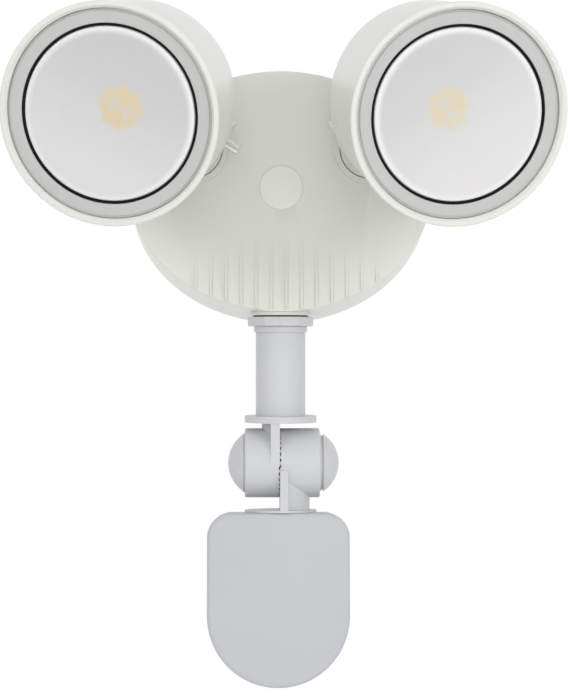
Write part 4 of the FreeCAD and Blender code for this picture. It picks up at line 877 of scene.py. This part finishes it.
class LIGHT_OT_stage(bpy.types.Operator):
    """Sets up the floor, the lights, the white surroundings and the camera"""

    bl_idname = "security_light.stage"
    bl_label = "Set the stage"

    def execute(self, context):
        settings = context.scene.stage_settings
        self.make_floor(settings)
        self.make_surroundings(context.scene, settings)
        for name, place, size, power in LAMPS:
            self.make_lamp(name, place, size, getattr(settings, power))
        self.make_camera(context.scene, settings)
        context.scene.view_settings.view_transform = "Standard"
        return {"FINISHED"}

    def make_floor(self, settings):
        """Round pale floor that is white where it is seen or mirrored."""
        bm = bmesh.new()
        bmesh.ops.create_circle(bm, cap_ends=True, segments=96, radius=settings.floor_radius)
        bmesh.ops.translate(bm, vec=(0, 0, settings.floor_height), verts=bm.verts)
        mesh = bpy.data.meshes.new("Floor")
        bm.to_mesh(mesh)
        bm.free()
        floor = bpy.data.objects.new("Floor", mesh)
        bpy.context.scene.collection.objects.link(floor)
        finish = Finish("Pale floor")
        finish.set(Base_Color=(0.8, 0.8, 0.8, 1.0), Roughness=0.9, Specular_IOR_Level=0.1)
        finish.set(Emission_Color=(1, 1, 1, 1))
        glow = finish.node("ShaderNodeMath", operation="MULTIPLY")
        glow.inputs[1].default_value = FLOOR_GLOW
        finish.link(seen_rays(finish.tree), glow.inputs[0])
        finish.link(glow.outputs["Value"], finish.shader.inputs["Emission Strength"])
        mesh.materials.append(finish.material)

    def make_surroundings(self, scene, settings):
        """White where it is seen or mirrored, and soft light, more from the back, elsewhere."""
        world = bpy.data.worlds.new("Surroundings")
        world.use_nodes = True
        nodes = world.node_tree.nodes
        links = world.node_tree.links
        direction = nodes.new("ShaderNodeSeparateXYZ")
        links.new(nodes.new("ShaderNodeTexCoord").outputs["Generated"], direction.inputs[0])
        sky = nodes.new("ShaderNodeMapRange")
        sky.inputs["To Min"].default_value = settings.sky_light
        sky.inputs["To Max"].default_value = settings.sky_light + settings.back_light
        links.new(direction.outputs["Y"], sky.inputs["Value"])
        level = nodes.new("ShaderNodeMapRange")
        level.inputs["To Max"].default_value = 1.0
        links.new(sky.outputs["Result"], level.inputs["To Min"])
        links.new(seen_rays(world.node_tree), level.inputs["Value"])
        background = nodes["Background"]
        background.inputs["Color"].default_value = (1, 1, 1, 1)
        links.new(level.outputs["Result"], background.inputs["Strength"])
        scene.world = world

    def make_lamp(self, name, place, size, power):
        """Round soft lamp that lights the object but isn't seen or mirrored."""
        light = bpy.data.lights.new(name, "AREA")
        light.shape = "DISK"
        light.size = size
        light.energy = power
        lamp = bpy.data.objects.new(name, light)
        lamp.location = place
        aim = LAMP_TARGET - lamp.location
        lamp.rotation_mode = "QUATERNION"
        lamp.rotation_quaternion = aim.to_track_quat("-Z", "Y")
        lamp.visible_camera = False
        lamp.visible_glossy = False
        bpy.context.scene.collection.objects.link(lamp)

    def make_camera(self, scene, settings):
        """Level camera in front of the wall."""
        data = bpy.data.cameras.new("Camera")
        data.lens = settings.focal_length
        data.sensor_width = FILM_WIDTH_MM
        data.clip_start = NEAREST_SEEN
        data.clip_end = FARTHEST_SEEN
        camera = bpy.data.objects.new("Camera", data)
        camera.location = (settings.camera_x, settings.camera_y, settings.camera_z)
        camera.rotation_euler = (math.radians(90), 0, -settings.camera_yaw)
        scene.collection.objects.link(camera)
        scene.camera = camera


OPERATORS = (
    LIGHT_OT_finishes,
    LIGHT_OT_canopy,
    LIGHT_OT_arms,
    LIGHT_OT_lamp_heads,
    LIGHT_OT_sensor,
    LIGHT_OT_stage,
)


class LIGHT_PT_panel(bpy.types.Panel):
    """Lists the steps that make the security light"""

    bl_idname = "LIGHT_PT_panel"
    bl_label = "Security Light"
    bl_space_type = "VIEW_3D"
    bl_region_type = "UI"
    bl_category = "Security Light"

    def draw(self, context):
        for operator in OPERATORS:
            self.layout.operator(operator.bl_idname)


def register():
    for name, group in PROPERTY_GROUPS:
        bpy.utils.register_class(group)
        setattr(bpy.types.Scene, name, bpy.props.PointerProperty(type=group))
    for operator in OPERATORS:
        bpy.utils.register_class(operator)
    bpy.utils.register_class(LIGHT_PT_panel)


def unregister():
    bpy.utils.unregister_class(LIGHT_PT_panel)
    for operator in reversed(OPERATORS):
        bpy.utils.unregister_class(operator)
    for name, group in reversed(PROPERTY_GROUPS):
        delattr(bpy.types.Scene, name)
        bpy.utils.unregister_class(group)


def main():
    """Makes the light."""
    register()
    for operator in OPERATORS:
        area, name = operator.bl_idname.split(".")
        getattr(getattr(bpy.ops, area), name)()


if __name__ == "__main__":
    main()
